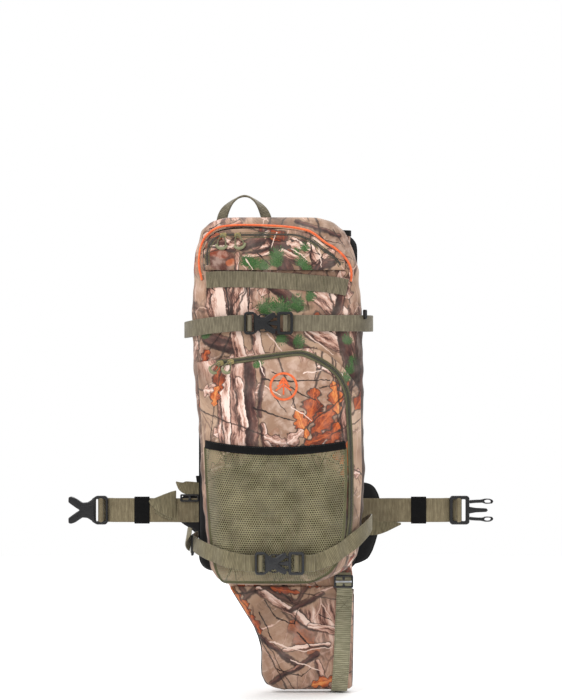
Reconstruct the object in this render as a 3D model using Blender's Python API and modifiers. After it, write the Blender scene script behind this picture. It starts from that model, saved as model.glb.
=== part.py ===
"""Hunting backpack with a rifle sleeve and a fold-down rifle boot.

Frame: +Z up, the pack's front faces -Y, the wearer is on the +Y side, +X is to the
right when the pack is seen from its front. The origin is the centre of the flat rear
face of the middle back pad, where the wearer's back meets the pack.
Sizes below are in millimetres and are turned into metres by MM.
"""
import math

import bmesh
import bpy
from mathutils import Vector
from mathutils.bvhtree import BVHTree

MM = 0.001

# ---------------------------------------------------------------- driving dimensions
Z_TOP = 282.0            # highest point of the bag's hood
Z_BASE = -283.0          # underside of the bag
Y_MAIN_REAR = -86.0      # rear wall of the main bag
CORNER_R = 35.0          # radius of the bag's vertical front corners
WALL = 3.0               # bag wall, as modelled
WEB = 25.0               # compression webbing width
WEB_T = 1.6              # compression webbing thickness
BELT = 38.0              # hip belt webbing width
BELT_T = 2.0
BUCKLE_K = 1.0           # scale of a 25 mm side-release buckle
BELT_BUCKLE_K = 1.3      # scale of the 38 mm side-release buckle
SHOULDER_W = 58.0
SHOULDER_T = 11.0
PROD_GAP = 0.5           # gap between neighbouring pieces

# Half-outlines of the bag in the front view: (z, x) for the left and right edge,
# and the depth of the front face (z, y).
LEFT = [(-283, -80), (-276, -93), (-262, -101), (-240, -107), (-200, -112), (-120, -118), (-70, -120),
        (0, -125), (60, -130), (130, -132), (200, -130), (235, -126), (262, -117),
        (276, -103), (282, -82)]
RIGHT = [(-283, 45), (-276, 76), (-262, 104), (-240, 122), (-200, 129), (-120, 134), (-70, 133),
         (0, 132), (60, 131), (130, 129), (200, 124), (235, 115), (262, 101),
         (276, 84), (282, 62)]
FRONT = [(-283, -138), (-276, -146), (-262, -152), (-240, -154), (0, -155), (185, -155), (200, -154),
         (232, -149), (262, -139), (276, -124), (282, -108)]
# Top edge of the flap that closes the main bag, (x, z)
FLAP_TOP = [(-113, 228), (-106, 245), (-96, 254.5), (-86, 258.5), (-70, 261), (-40, 262),
            (7, 261), (37, 257), (54, 250), (72, 236), (89, 226), (101, 214)]
FLAP_BOTTOM = 201.0
# Line of the piping round the flap, (x, z)
PIPING = [(-116, 184), (-120, 200), (-121, 216), (-118, 236), (-110, 252.5), (-94, 264),
          (-70, 268), (-40, 268.5), (7, 266.5), (38, 262.5), (54, 257), (72, 243),
          (89, 232.5), (102, 220), (110, 207), (112.5, 194), (111, 182)]


def table(rows, t):
    """Straight-line reading of a table of (t, value)."""
    if t <= rows[0][0]:
        return rows[0][1]
    for (a, va), (b, vb) in zip(rows, rows[1:]):
        if t <= b:
            return va + (vb - va) * (t - a) / (b - a)
    return rows[-1][1]


def centre_half(z):
    left, right = table(LEFT, z), table(RIGHT, z)
    return (left + right) / 2, (right - left) / 2


def front_y(x, z):
    """Depth of the main bag's front face, with its rounded vertical corners."""
    xc, hw = centre_half(z)
    d = max(0.0, abs(x - xc) - (hw - CORNER_R))
    d = min(d, CORNER_R * 0.98)
    return table(FRONT, z) + CORNER_R - math.sqrt(CORNER_R ** 2 - d ** 2)


def pocket_top(x):
    """Top edge of the front pocket: a straight rise, then a drop at the right corner."""
    z = 61.0 + 0.13 * (x + 90.0)
    if x > 40:
        z -= (x - 40) ** 2 / 95.0
    return z


def pocket_bulge(u, w):
    """How far the front pocket stands in front of the main bag, u and w in -1..1."""
    return 3.0 + 27.0 * (1 - abs(u) ** 4) * (1 - abs(w) ** 6) ** 0.7


MESH_TOP = -72.0


# ---------------------------------------------------------------- scene and materials
for _o in list(bpy.data.objects):
    bpy.data.objects.remove(_o)


def collection(name):
    c = bpy.data.collections.new(name)
    bpy.context.scene.collection.children.link(c)
    return c


PACK = collection("hunting_backpack")
CUTTERS = collection("cutters")


def material(name, colour, rough, metal=0.0):
    m = bpy.data.materials.new(name)
    m.use_nodes = True
    b = m.node_tree.nodes["Principled BSDF"]
    b.inputs["Base Color"].default_value = (*colour, 1)
    b.inputs["Roughness"].default_value = rough
    b.inputs["Metallic"].default_value = metal
    return m


CAMO = material("camo_cloth", (0.33, 0.25, 0.20), 0.85)
BLACK_CLOTH = material("black_cloth", (0.012, 0.012, 0.013), 0.9)
FOAM = material("black_foam_pad", (0.02, 0.02, 0.022), 0.95)
OLIVE = material("olive_webbing", (0.17, 0.145, 0.09), 0.75)
MESH_GREEN = material("olive_mesh", (0.13, 0.135, 0.06), 0.8)
PLASTIC = material("black_plastic", (0.015, 0.016, 0.018), 0.35)
GREY_PLASTIC = material("grey_plastic", (0.12, 0.125, 0.13), 0.35)
ORANGE = material("orange_piping", (0.80, 0.16, 0.05), 0.6)
SHEET = material("frame_sheet_plastic", (0.05, 0.05, 0.055), 0.5)
PULL = material("pull_cord", (0.13, 0.13, 0.08), 0.7)
NYLON = material("zip_tape", (0.10, 0.10, 0.055), 0.6)


def rounded(points, radius, steps=3):
    """A polygon with each corner replaced by a short arc-like curve."""
    out = []
    n = len(points)
    for i in range(n):
        p0, p1, p2 = (Vector(points[(i + k) % n]) for k in (-1, 0, 1))
        r = radius
        a = p1 + (p0 - p1).normalized() * min(r, (p0 - p1).length * 0.45)
        b = p1 + (p2 - p1).normalized() * min(r, (p2 - p1).length * 0.45)
        for k in range(steps + 1):
            t = k / steps
            out.append(tuple(a * (1 - t) ** 2 + p1 * 2 * t * (1 - t) + b * t ** 2))
    return out


def link(name, data, mat, coll=None):
    ob = bpy.data.objects.new(name, data)
    (coll or PACK).objects.link(ob)
    if mat is not None:
        data.materials.append(mat)
    return ob


def plate(name, outline, holes, y, half, mat, at=(0.0, 0.0), flip=1.0, tilt=0.0,
          axis="y"):
    """A flat outline in the XZ plane, with holes, centred on depth y. Sizes in mm.
    flip -1 mirrors it in X, and tilt turns it about its own Y axis."""
    cu = bpy.data.curves.new(name, "CURVE")
    cu.dimensions = "2D"
    cu.fill_mode = "BOTH"
    cu.extrude = half * MM
    for loop in [outline, *holes]:
        sp = cu.splines.new("POLY")
        sp.points.add(len(loop) - 1)
        for p, (a, b) in zip(sp.points, loop):
            p.co = (a * flip * MM, b * MM, 0, 1)
        sp.use_cyclic_u = True
    ob = link(name, cu, mat)
    ob.rotation_euler = (math.pi / 2, -tilt, 0) if axis == "y" else axis
    ob.location = (at[0] * MM, y * MM, at[1] * MM)
    return ob


def as_mesh(ob):
    """The curve as a welded mesh object of the same name, in world space."""
    bpy.context.view_layer.update()
    graph = bpy.context.evaluated_depsgraph_get()
    mesh = bpy.data.meshes.new_from_object(ob.evaluated_get(graph))
    mesh.transform(ob.matrix_world)
    bm = bmesh.new()
    bm.from_mesh(mesh)
    bmesh.ops.remove_doubles(bm, verts=bm.verts, dist=1e-6)
    bmesh.ops.recalc_face_normals(bm, faces=bm.faces)
    bm.to_mesh(mesh)
    bm.free()
    name, coll = ob.name, ob.users_collection[0]
    bpy.data.objects.remove(ob)
    new = bpy.data.objects.new(name, mesh)
    coll.objects.link(new)
    return new


def grid(name, nu, nv, fn, thickness, mat, offset=0.0, coll=None, drop=None):
    """An open surface fn(u, v), u and v in -1..1, thickened by Solidify."""
    bm = bmesh.new()
    bmesh.ops.create_grid(bm, x_segments=nu, y_segments=nv, size=1.0)
    for v in bm.verts:
        v.co = Vector(fn(v.co.x, v.co.y)) * MM
    me = bpy.data.meshes.new(name)
    bm.to_mesh(me)
    bm.free()
    ob = link(name, me, mat, coll)
    s = ob.modifiers.new("thickness", "SOLIDIFY")
    s.thickness = thickness * MM
    s.offset = offset
    return ob


def level(levels, t):
    """Maps -1..1, cut evenly, onto a list of levels."""
    n = len(levels) - 1
    f = (t + 1) / 2 * n
    i = min(n - 1, max(0, int(f + 1e-6)))
    return levels[i] + (levels[i + 1] - levels[i]) * (f - i)


def box_grid(name, cuts, fn, mat, drop=(), thickness=0.0, coll=None):
    """A cube cut into cuts[0] x cuts[1] x cuts[2] and shaped by fn(u, v, w), each in
    -1..1. drop lists sides left open ('+z', '-z'); thickness makes a shell inwards."""
    bm = bmesh.new()
    bmesh.ops.create_cube(bm, size=2.0)
    for ax, n in enumerate(cuts):
        if n > 1:
            edges = [e for e in bm.edges
                     if abs((e.verts[0].co - e.verts[1].co).normalized()[ax]) > 0.99]
            bmesh.ops.subdivide_edges(bm, edges=edges, cuts=n - 1, use_grid_fill=True)
    bm.normal_update()
    gone = []
    for side in drop:
        k, sign = "xyz".index(side[1]), 1 if side[0] == "+" else -1
        gone += [f for f in bm.faces if f.normal[k] * sign > 0.9]
    if gone:
        bmesh.ops.delete(bm, geom=gone, context="FACES")
    for v in bm.verts:
        v.co = Vector(fn(*v.co)) * MM
    me = bpy.data.meshes.new(name)
    bm.to_mesh(me)
    bm.free()
    ob = link(name, me, mat, coll)
    if thickness:
        s = ob.modifiers.new("wall", "SOLIDIFY")
        s.thickness = thickness * MM
        s.offset = -1
    return ob


def block(name, lo, hi, mat, bevel=0.0, coll=None, segments=2):
    """A box from its lowest to its highest corner, with rounded edges."""
    lo, hi = Vector(lo), Vector(hi)
    bm = bmesh.new()
    bmesh.ops.create_cube(bm, size=1.0)
    for v in bm.verts:
        v.co = Vector([(lo[k] + hi[k]) / 2 + v.co[k] * (hi[k] - lo[k]) for k in range(3)]) * MM
    me = bpy.data.meshes.new(name)
    bm.to_mesh(me)
    bm.free()
    ob = link(name, me, mat, coll)
    if bevel:
        b = ob.modifiers.new("round", "BEVEL")
        b.width = bevel * MM
        b.segments = segments
    return ob


def ribbon(name, path, across, width, thickness, mat):
    """Webbing along path (points in mm); across is the width direction, one vector or
    one for each point."""
    n = len(path)
    ways = [Vector(across)] * n if isinstance(across, tuple) else [Vector(a) for a in across]

    def fn(u, v):
        i = min(n - 1, int(round((u + 1) / 2 * (n - 1))))
        return Vector(path[i]) + ways[i].normalized() * v * width / 2
    return grid(name, n - 1, 1, fn, thickness, mat)


def tube(name, path, radius, mat, resolution=2, cyclic=False):
    cu = bpy.data.curves.new(name, "CURVE")
    cu.dimensions = "3D"
    cu.bevel_depth = radius * MM
    cu.bevel_resolution = resolution
    cu.use_fill_caps = not cyclic
    sp = cu.splines.new("POLY")
    sp.points.add(len(path) - 1)
    for p, q in zip(sp.points, path):
        p.co = (q[0] * MM, q[1] * MM, q[2] * MM, 1)
    sp.use_cyclic_u = cyclic
    return link(name, cu, mat)


def smooth_path(points, per=4):
    """Catmull-Rom points through a route."""
    pts = [Vector(p) for p in points]
    pts = [pts[0] * 2 - pts[1], *pts, pts[-1] * 2 - pts[-2]]
    out = []
    for i in range(1, len(pts) - 2):
        a, b, c, d = pts[i - 1:i + 3]
        for k in range(per):
            t = k / per
            out.append(0.5 * ((2 * b) + (c - a) * t + (2 * a - 5 * b + 4 * c - d) * t * t
                              + (3 * b - a - 3 * c + d) * t ** 3))
    out.append(pts[-2])
    return [tuple(p) for p in out]


def front_of(*obs, miss=front_y):
    """A function of x, z and a reach: the nearest front surface of these objects, all of
    them at the origin, over a square of that reach round x, z. miss answers beside them."""
    bpy.context.view_layer.update()
    graph = bpy.context.evaluated_depsgraph_get()
    trees = [BVHTree.FromObject(ob, graph) for ob in obs]

    def y_at(x, z, reach=0.0):
        steps = (-reach, -reach / 2, 0, reach / 2, reach) if reach else (0,)
        best = None
        for dx in steps:
            for dz in steps:
                for tree in trees:
                    hit = tree.ray_cast(Vector(((x + dx) * MM, -1, (z + dz) * MM)), Vector((0, 1, 0)))[0]
                    if hit is not None:
                        best = hit.y / MM if best is None else min(best, hit.y / MM)
        return miss(x, z) if best is None else best
    return y_at


def laid_on(y_at, flat, out, per=2):
    """A route over a surface, and the width direction of a tape lying on it: flat holds
    its x and z, and the tape's middle stands out from the surface by out."""
    points = [(p[0], p[2]) for p in smooth_path([(x, 0, z) for x, z in flat], per)]
    route, ways = [], []
    for i, (x, z) in enumerate(points):
        e = 3.0
        n = Vector((y_at(x + e, z) - y_at(x - e, z), -2 * e, y_at(x, z + e) - y_at(x, z - e))).normalized()
        (xa, za), (xb, zb) = points[max(0, i - 1)], points[min(len(points) - 1, i + 1)]
        t = Vector((xb - xa, 0, zb - za))
        t = (t - n * t.dot(n)).normalized()
        route.append(tuple(Vector((x, y_at(x, z), z)) + n * out))
        ways.append(tuple(t.cross(n).normalized()))
    return route, ways


def subtract(ob, cutter):
    cutter.hide_render = True
    cutter.display_type = "WIRE"
    for c in cutter.users_collection:
        c.objects.unlink(cutter)
    CUTTERS.objects.link(cutter)
    m = ob.modifiers.new("cut", "BOOLEAN")
    m.operation = "DIFFERENCE"
    m.object = cutter
    m.solver = "EXACT"


def hang(ob, pivot):
    """Moves the object's origin to its joint, leaving its shape where it is."""
    bpy.context.view_layer.update()
    if ob.type == "CURVE":
        modifiers = len(ob.modifiers)
        assert modifiers == 0
        ob = as_mesh(ob)
    p = Vector(pivot) * MM
    ob.data.transform(ob.matrix_world)
    ob.matrix_world = ob.matrix_world.Identity(4)
    for v in ob.data.vertices:
        v.co -= p
    ob.location = p
    return ob


def joint_empty(name, pivot, parent=None):
    e = bpy.data.objects.new(name, None)
    PACK.objects.link(e)
    e.empty_display_size = 0.02
    e.location = Vector(pivot) * MM
    if parent is not None:
        bpy.context.view_layer.update()
        e.parent = parent
        e.matrix_parent_inverse = parent.matrix_world.inverted()
    return e


def ride(obs, empty):
    """Parents pieces to their joint's empty, with their origins on its axis."""
    bpy.context.view_layer.update()
    where = empty.matrix_world.translation / MM
    for ob in obs:
        ob = hang(ob, where)
        bpy.context.view_layer.update()
        ob.parent = empty
        ob.matrix_parent_inverse = empty.matrix_world.inverted()


# ---------------------------------------------------------------- back of the pack
def slab_outline(x0, x1, z0, z1, r):
    return rounded([(x0, z0), (x1, z0), (x1, z1), (x0, z1)], r, 3)


back_panel = plate("back_panel", slab_outline(-124, 124, -270, 258, 22), [], -25.0, 9.0,
                   BLACK_CLOTH)
back_panel = as_mesh(back_panel)
back_panel.data.materials.append(BLACK_CLOTH)
subtract(back_panel, block("frame_sheet_pocket", (-108, -40, -254), (108, -31.2, 240), None))
plate("frame_sheet", slab_outline(-107, 107, -253, 239, 18), [], -32.7, 1.1, SHEET)


def pad(name, x, z0, z1):
    return block(name, (-x, -15.6, z0), (x, 0, z1), FOAM, bevel=6.0, segments=2)


pad("back_pad_upper", 95, 78, 240)
pad("back_pad_middle", 95, -72, 72)
pad("lumbar_pad", 84, -250, -80)

# Rifle sleeve: a flat tube between the back panel and the main bag, open at both ends.
# Below the bag it runs on as the short throat that the boot folds at.
SLEEVE_Z = [-294, -283, -262, -200, 0, 262]
SLEEVE_L = [(-294, -75), (-283, -82), (-262, -98), (-200, -108), (262, -109)]
SLEEVE_R = [(-294, 119), (-283, 119), (-262, 118), (-200, 116), (262, 115)]


def sleeve_point(u, v, w):
    z = level(SLEEVE_Z, w)
    a, b = table(SLEEVE_L, z), table(SLEEVE_R, z)
    return (a + b) / 2 + u * (b - a) / 2, -60.3 + 25.2 * v, z


box_grid("rifle_sleeve", (4, 2, 5),
         sleeve_point, CAMO, drop=("+z", "-z"), thickness=2.5)

# ---------------------------------------------------------------- main bag and its flap
U_LEVELS = [-1, -0.87, -0.73, -0.3, 0.3, 0.73, 0.87, 1]
V_LEVELS = [-1, -0.5, 0.0, 1]
W_LEVELS = [-283, -276, -262, -240, -180, -100, 0, 60, 130, 200, 235, 262, 276, 282]


def main_point(u, v, w):
    u, v, z = level(U_LEVELS, u), level(V_LEVELS, v), level(W_LEVELS, w)
    xc, hw = centre_half(z)
    yf = table(FRONT, z)
    x = u * hw
    y = yf + (v + 1) / 2 * (Y_MAIN_REAR - yf)
    r = min(CORNER_R, (Y_MAIN_REAR - yf) * 0.5 + 0.01)
    dx, dy = abs(x) - (hw - r), (yf + r) - y
    if dx > 0 and dy > 0:
        m, d = max(dx, dy), math.hypot(dx, dy)
        x = math.copysign(hw - r + dx / d * m, x)
        y = yf + r - dy / d * m
    return xc + x, y, z


main_bag = box_grid("main_bag", (7, 3, 13), main_point, CAMO, thickness=WALL)
bag_front = front_of(main_bag)


def bag_corner(i, k):
    """The main bag's front vertex in column i and row k."""
    return main_point(i / 7 * 2 - 1, -1, k / 13 * 2 - 1)


def bag_face(u, z):
    """The main bag's front facet at u across, by the bag's own columns, and height z."""
    i = max(j for j in range(7) if u >= U_LEVELS[j] - 1e-9)
    k = max(j for j in range(13) if z >= W_LEVELS[j] - 1e-9)
    s = (u - U_LEVELS[i]) / (U_LEVELS[i + 1] - U_LEVELS[i])
    t = (z - W_LEVELS[k]) / (W_LEVELS[k + 1] - W_LEVELS[k])
    a, b, c, d = (Vector(bag_corner(i + p, k + q)) for q in (0, 1) for p in (0, 1))
    return (a * (1 - s) + b * s) * (1 - t) + (c * (1 - s) + d * s) * t


def flap_region(u, t, grow=0.0):
    """x and z inside the flap's outline, u across its columns and t up, each in 0..1."""
    n = len(FLAP_TOP) - 1
    i = min(n, max(0, int(round(u * n))))
    x, top = FLAP_TOP[i]
    (xa, za), (xb, zb) = FLAP_TOP[max(0, i - 1)], FLAP_TOP[min(n, i + 1)]
    top += grow * min(2.0, math.hypot(1, (zb - za) / (xb - xa)))
    x += grow * ((i == n) - (i == 0))
    bottom = FLAP_BOTTOM - grow
    return x, bottom + (top - bottom) * t


FLAP_N = len(FLAP_TOP) - 1
subtract(main_bag, box_grid(
    "flap_cutter", (FLAP_N, 1, 1),
    lambda u, v, w: (flap_region((u + 1) / 2, (w + 1) / 2, 1.7)[0], -160 + 45 * v,
                     flap_region((u + 1) / 2, (w + 1) / 2, 1.7)[1]), None))


def flap_point(u, t):
    x, z = flap_region((u + 1) / 2, (t + 1) / 2)
    return x, bag_front(x, z) + 1.5, z


FLAP_HINGE = (0, -155.5, 199.0)
flap = joint_empty("joint_top_flap", FLAP_HINGE)
top_flap = grid("top_flap", FLAP_N, 4, flap_point, 2.4, CAMO)
flap_front = front_of(top_flap, miss=bag_front)


# Zip tape of the main bag, sewn near the flap's edge
TOP_ZIP_Z = 253.0
TAPE_TOP = [(-107, 206), (-108, 226), (-102, 241), (-93, 250), (-84, TOP_ZIP_Z), (-60, TOP_ZIP_Z),
            (-20, TOP_ZIP_Z), (20, TOP_ZIP_Z), (38, 249.5), (54, 242), (70, 229), (87, 218), (96, 206)]
top_zip = ribbon("top_zip_tape", *laid_on(flap_front, TAPE_TOP, 1.4), 6.0, 1.0, NYLON)
top_tape_front = front_of(top_flap, top_zip, miss=bag_front)

route, _ = laid_on(bag_front, PIPING, 2.9)
tube("piping", route, 1.5, ORANGE, resolution=1)

# Webbing sewn across the front below the flap
daisy_pts = [(-110, 184), (-103, 184.5), (-98, 185), (-92, 185.5), (-80, 185.5), (-40, 185), (20, 182), (70, 178), (90, 176), (106, 173)]
ribbon("daisy_webbing", [(x, bag_front(x, z, 4) - 2.0, z) for x, z in daisy_pts], (0, 0, 1), WEB, WEB_T,
       OLIVE)

# ---------------------------------------------------------------- front pocket
P_U = [-0.95, -0.87, -0.73, -0.3, 0.3, 0.73, 0.87, 0.95]
P_ROWS = 11


def pocket_point(u, v, w):
    """Its columns and rows are the bag's own, so that its rear lies on the bag's facets."""
    u, k = level(P_U, u), int(round((w + 1) / 2 * P_ROWS))
    top = pocket_top(bag_face(u, 0).x)
    z = [Z_BASE + 0.5, -276, -262, -240, -180, -100, 0, 0.45 * top, 0.7 * top, 0.87 * top,
         0.96 * top, top][k]
    p = bag_face(u, z)
    p.y -= 1.3
    if v < 0:
        p.y -= pocket_bulge(u / 0.95, 2 * (z - Z_BASE - 0.5) / (top - Z_BASE - 0.5) - 1)
    return tuple(p)


front_pocket = box_grid("front_pocket", (7, 1, P_ROWS), pocket_point, CAMO)
pocket_front = front_of(front_pocket, main_bag)

# Zip tape round the pocket's top and down its right side
FRONT_ZIP = [(-94, 56.0), (-60, 60.5), (-20, 65.7), (20, 71.0), (38, 71.5), (54, 65.5), (74, 54.5),
             (90, 41), (100, 24), (106, 5), (108, -30), (110, -70), (111, -120), (110, -180), (104, -226)]
front_zip = ribbon("front_zip_tape", *laid_on(pocket_front, FRONT_ZIP, 1.5), 7.0, 1.0, NYLON)
zip_front = front_of(front_pocket, main_bag, front_zip)


# ---------------------------------------------------------------- mesh pocket
def mesh_xz(u, t):
    """x and z on the mesh pocket: u across and t up, both in 0..1."""
    z0 = Z_BASE + 5
    zt = MESH_TOP - 9.0 * (1 - (2 * u - 1) ** 2)
    z = z0 + (zt - z0) * t
    a, b = bag_face(-0.93, z), bag_face(0.76, z)
    return a.x + (b.x - a.x) * u, z


def mesh_slack(u, t):
    """Slack between the mesh pocket and the front pocket behind it."""
    return 9.0 * (1 - abs(2 * u - 1) ** 4) * math.sin(min(1.0, t * 1.5) * math.pi / 2)


MESH_U = [0, 0.04, 0.12, 0.25, 0.4, 0.6, 0.75, 0.88, 0.96, 1]
MESH_T = [0, 0.03, 0.08, 0.18, 0.4, 0.7, 1]


def mesh_point(u, t):
    u, t = level(MESH_U, u), level(MESH_T, t)
    x, z = mesh_xz(u, t)
    return x, pocket_front(x, z, 4) - 1.6 - mesh_slack(u, t), z


mesh_pocket = grid("mesh_pocket", 9, 6, mesh_point, 1.4, MESH_GREEN)


def binding_point(u, t):
    x, y, z = mesh_point(u, 1.0)
    return x, y - 0.6, z + 6.8 + 5.7 * t


mesh_binding = grid("mesh_binding", 9, 1, binding_point, 2.2, BLACK_CLOTH)
low_front = front_of(mesh_pocket, mesh_binding, front_pocket, main_bag, front_zip)


# ---------------------------------------------------------------- buckles
def half_outline(points):
    """A symmetric outline from its upper half, x falling then mirrored in z."""
    return points + [(x, -z) for x, z in reversed(points) if abs(z) > 1e-6]


def female(name, at, y, k, mat, flip=1.0, tilt=0.0):
    """Socket half: webbing end at -X, mouth at +X, two windows for the webbing."""
    up = [(-39, 15), (-36.5, 17.5), (-24, 17.5), (-18, 13), (-13, 9.2), (-8, 9.0),
          (-4, 12.5), (1, 15.8), (6, 17.2), (9, 16), (9, 9.5), (3, 5.5), (-5, 0)]
    outline = [(x * k, z * k) for x, z in half_outline(up)]
    holes = [rounded([(a * k, -13.2 * k), (b * k, -13.2 * k), (b * k, 13.2 * k), (a * k, 13.2 * k)], 0.8, 1)
             for a, b in ((-36, -32.4), (-28.6, -25))]
    ob = as_mesh(plate(name, outline, holes, y, 4.5 * k, mat, at, flip, tilt))
    ob.data.materials.append(mat)
    cut = block(name + "_cavity", (-20 * k, -2.6 * k, -13.4 * k), (14 * k, 2.6 * k, 13.4 * k), None)
    if flip < 0:
        for v in cut.data.vertices:
            v.co.x = -v.co.x
        cut.data.flip_normals()
    cut.rotation_euler = (0, -tilt, 0)
    cut.location = (at[0] * MM, y * MM, at[1] * MM)
    subtract(ob, cut)
    return ob


def male(name, at, y, k, mat, flip=1.0, tilt=0.0):
    """Plug half without its two spring arms: webbing end at +X, guide at -X."""
    up = [(36, 15), (33.5, 17.5), (14, 17.5), (12, 15.5), (12, 4), (4, 2.6), (-9, 2.2), (-11, 0)]
    outline = [(x * k, z * k) for x, z in half_outline(up)]
    outline = [(x, z) for x, z in outline]
    holes = [rounded([(a * k, -13.2 * k), (b * k, -13.2 * k), (b * k, 13.2 * k), (a * k, 13.2 * k)], 0.8, 1)
             for a, b in ((16.5, 20.5), (25.5, 31.5))]
    return plate(name, outline, holes, y, 2.2 * k, mat, at, flip, tilt)


def prong(name, side, at, y, k, mat, flip=1.0, tilt=0.0):
    """One spring arm of the plug half, with its squeeze pad."""
    pts = [(11.4, 8.0), (11.4, 12.2), (4, 12.6), (-5, 12.6), (-16, 12.8), (-17.6, 11), (-16, 8),
           (-8, 8), (-4, 9.6), (4, 9.0)]
    hole = [(-14.5, 9.4), (-14.5, 11.6), (-9, 11.6), (-9, 9.4)]
    return plate(name, [(x * k, z * k * side) for x, z in pts],
                 [[(x * k, z * k * side) for x, z in hole]], y, 2.1 * k, mat, at, flip, tilt)


def turned(at, tilt, x, z):
    c, s = math.cos(tilt), math.sin(tilt)
    return at[0] + x * c - z * s, at[1] + x * s + z * c


# Upper compression strap and buckle
UB = (-13.0, 118.0)
UB_Y = -161.5
# Lower compression strap and buckle, in front of the mesh pocket
LB = (4.0, -247.0)
LB_Y = min(low_front(LB[0] + x, LB[1], 16) for x in (-24, -8, 8, 24)) - 5.7


def buckle(tag, at, y, tilt, travel):
    female(f"{tag}_buckle_female", at, y, BUCKLE_K, PLASTIC, 1.0, tilt)
    slide = joint_empty(f"joint_{tag}_release", (*turned(at, tilt, 12, 0)[:1], y,
                                                 turned(at, tilt, 12, 0)[1]))
    ride([male(f"{tag}_buckle_male", at, y, BUCKLE_K, PLASTIC, 1.0, tilt)], slide)
    for side, word in ((1, "upper"), (-1, "lower")):
        px, pz = turned(at, tilt, 11.4, 10 * side)
        e = joint_empty(f"joint_{tag}_prong_{word}", (px, y, pz), slide)
        ride([prong(f"{tag}_prong_{word}", side, at, y, BUCKLE_K, PLASTIC, 1.0, tilt)], e)


buckle("upper", UB, UB_Y, 0.0, 30)
buckle("lower", LB, LB_Y, 0.0, 30)


def strap_z(x, mid, left, right):
    """Height of a strap that sags at the middle: (x, z) of its ends and its level middle."""
    if x < mid[0] - 45:
        t = (mid[0] - 45 - x) / (mid[0] - 45 - left[0])
        return mid[1] + (left[1] - mid[1]) * t ** 1.6
    if x > mid[0] + 45:
        t = (x - mid[0] - 45) / (right[0] - mid[0] - 45)
        return mid[1] + (right[1] - mid[1]) * t ** 1.6
    return mid[1]


def strap_points(plan, mid, left, right):
    return [(x, y, strap_z(x, mid, left, right)) for x, y in plan]


U_LEFT = [(-52.6, UB_Y), (-72, -159.5), (-96, -158.2), (-114, -154), (-130, -143), (-140, -126),
          (-144, -104), (-144, -78), (-138, -54), (-131, -36)]
U_RIGHT = [(23.6, UB_Y), (48, -160.5), (80, -159), (104, -157), (125, -149), (140, -131),
           (146, -106), (146, -78), (140, -54), (132, -36)]
ribbon("upper_strap_left", strap_points(U_LEFT, UB, (-144, 108), (146, 118)), (0, 0, 1), WEB, WEB_T, OLIVE)
ribbon("upper_strap_right", strap_points(U_RIGHT, UB, (-144, 108), (146, 118)), (0, 0, 1), WEB, WEB_T, OLIVE)


def strap_depth(x, ends):
    """Depth of the lower strap: clear of all that it crosses, over its whole width."""
    z = strap_z(x, LB, *ends)
    return max(LB_Y, low_front(x, z, 13) - 3.0)


L_ENDS = ((-131, -222), (145, -190))
L_LEFT = [(LB[0] - 39.6, LB_Y)] + [(x, strap_depth(x, L_ENDS)) for x in (-52, -68, -84)] + \
    [(-100, -164), (-114, -150), (-126, -128), (-131, -104)]
L_RIGHT = [(LB[0] + 36.6, LB_Y)] + [(x, strap_depth(x, L_ENDS)) for x in (56, 72, 90)] + \
    [(106, -169), (124, -158), (138, -138), (144, -112), (145, -84), (140, -56), (131, -37)]
ribbon("lower_strap_left", strap_points(L_LEFT, LB, *L_ENDS), (0, 0, 1), WEB, WEB_T, OLIVE)
ribbon("lower_strap_right", strap_points(L_RIGHT, LB, *L_ENDS), (0, 0, 1), WEB, WEB_T, OLIVE)


# Ladder locks
def ladder_lock(name, at, y, w, h, half, mat, tilt=0.0, rotation=None):
    """A flat webbing adjuster: frame with two windows; w along the webbing, h across."""
    o = rounded([(-w / 2, -h / 2), (w / 2, -h / 2), (w / 2, h / 2), (-w / 2, h / 2)], 2.5, 2)
    rim = 2.8
    mid = 1.8
    holes = [[(-w / 2 + rim, -h / 2 + rim), (-mid, -h / 2 + rim), (-mid, h / 2 - rim), (-w / 2 + rim, h / 2 - rim)],
             [(mid, -h / 2 + rim), (w / 2 - rim, -h / 2 + rim), (w / 2 - rim, h / 2 - rim), (mid, h / 2 - rim)]]
    ob = plate(name, o, holes, y, half, mat, at, 1.0, tilt)
    if rotation is not None:
        ob.rotation_euler = rotation
    return ob


# At the left side, facing sideways: the lower strap comes back through it
ladder_lock("lower_ladder_lock", (-132.5, -226), -86.0, 30, 32, 1.8, PLASTIC,
            rotation=(math.pi / 2, 0, math.pi / 2))
# Above the boot, on the bag's right corner
ladder_lock("boot_ladder_lock", (102, -282.5), -91.0, 30, 20, 1.6, GREY_PLASTIC)


# ---------------------------------------------------------------- zips: sliders and pulls
def slider(name, at, y, slope):
    """Zip slider body: a small rounded block that stands clear of the tape."""
    ob = block(name, (-4.6, -1.6, -4.2), (4.6, 1.6, 4.2), NYLON, bevel=1.0, segments=1)
    ob.rotation_euler = (0, -slope, 0)
    ob.location = (at[0] * MM, y * MM, at[1] * MM)
    bpy.context.view_layer.update()
    ob.data.transform(ob.matrix_basis)
    ob.matrix_basis = ob.matrix_basis.Identity(4)
    return ob


def pull(name, at, y, lean, swing):
    """Cord loop with a moulded grip: a long ring that hangs from its slider. lean tips
    it out along the face, swing turns it in the face."""
    top = 0.0
    pts = [(-1.8, top), (-5.2, -10), (-6.4, -20), (-5.2, -27), (0, -30), (5.2, -27), (6.4, -20), (5.2, -10), (1.8, top)]
    hole = [(-0.6, -4), (-3.0, -11), (-3.6, -18), (0, -20.5), (3.6, -18), (3.0, -11), (0.6, -4)]
    ob = plate(name, pts, [hole], y, 1.1, PULL, at)
    ob.rotation_euler = (math.pi / 2 - lean, swing, 0)
    return ob


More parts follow.
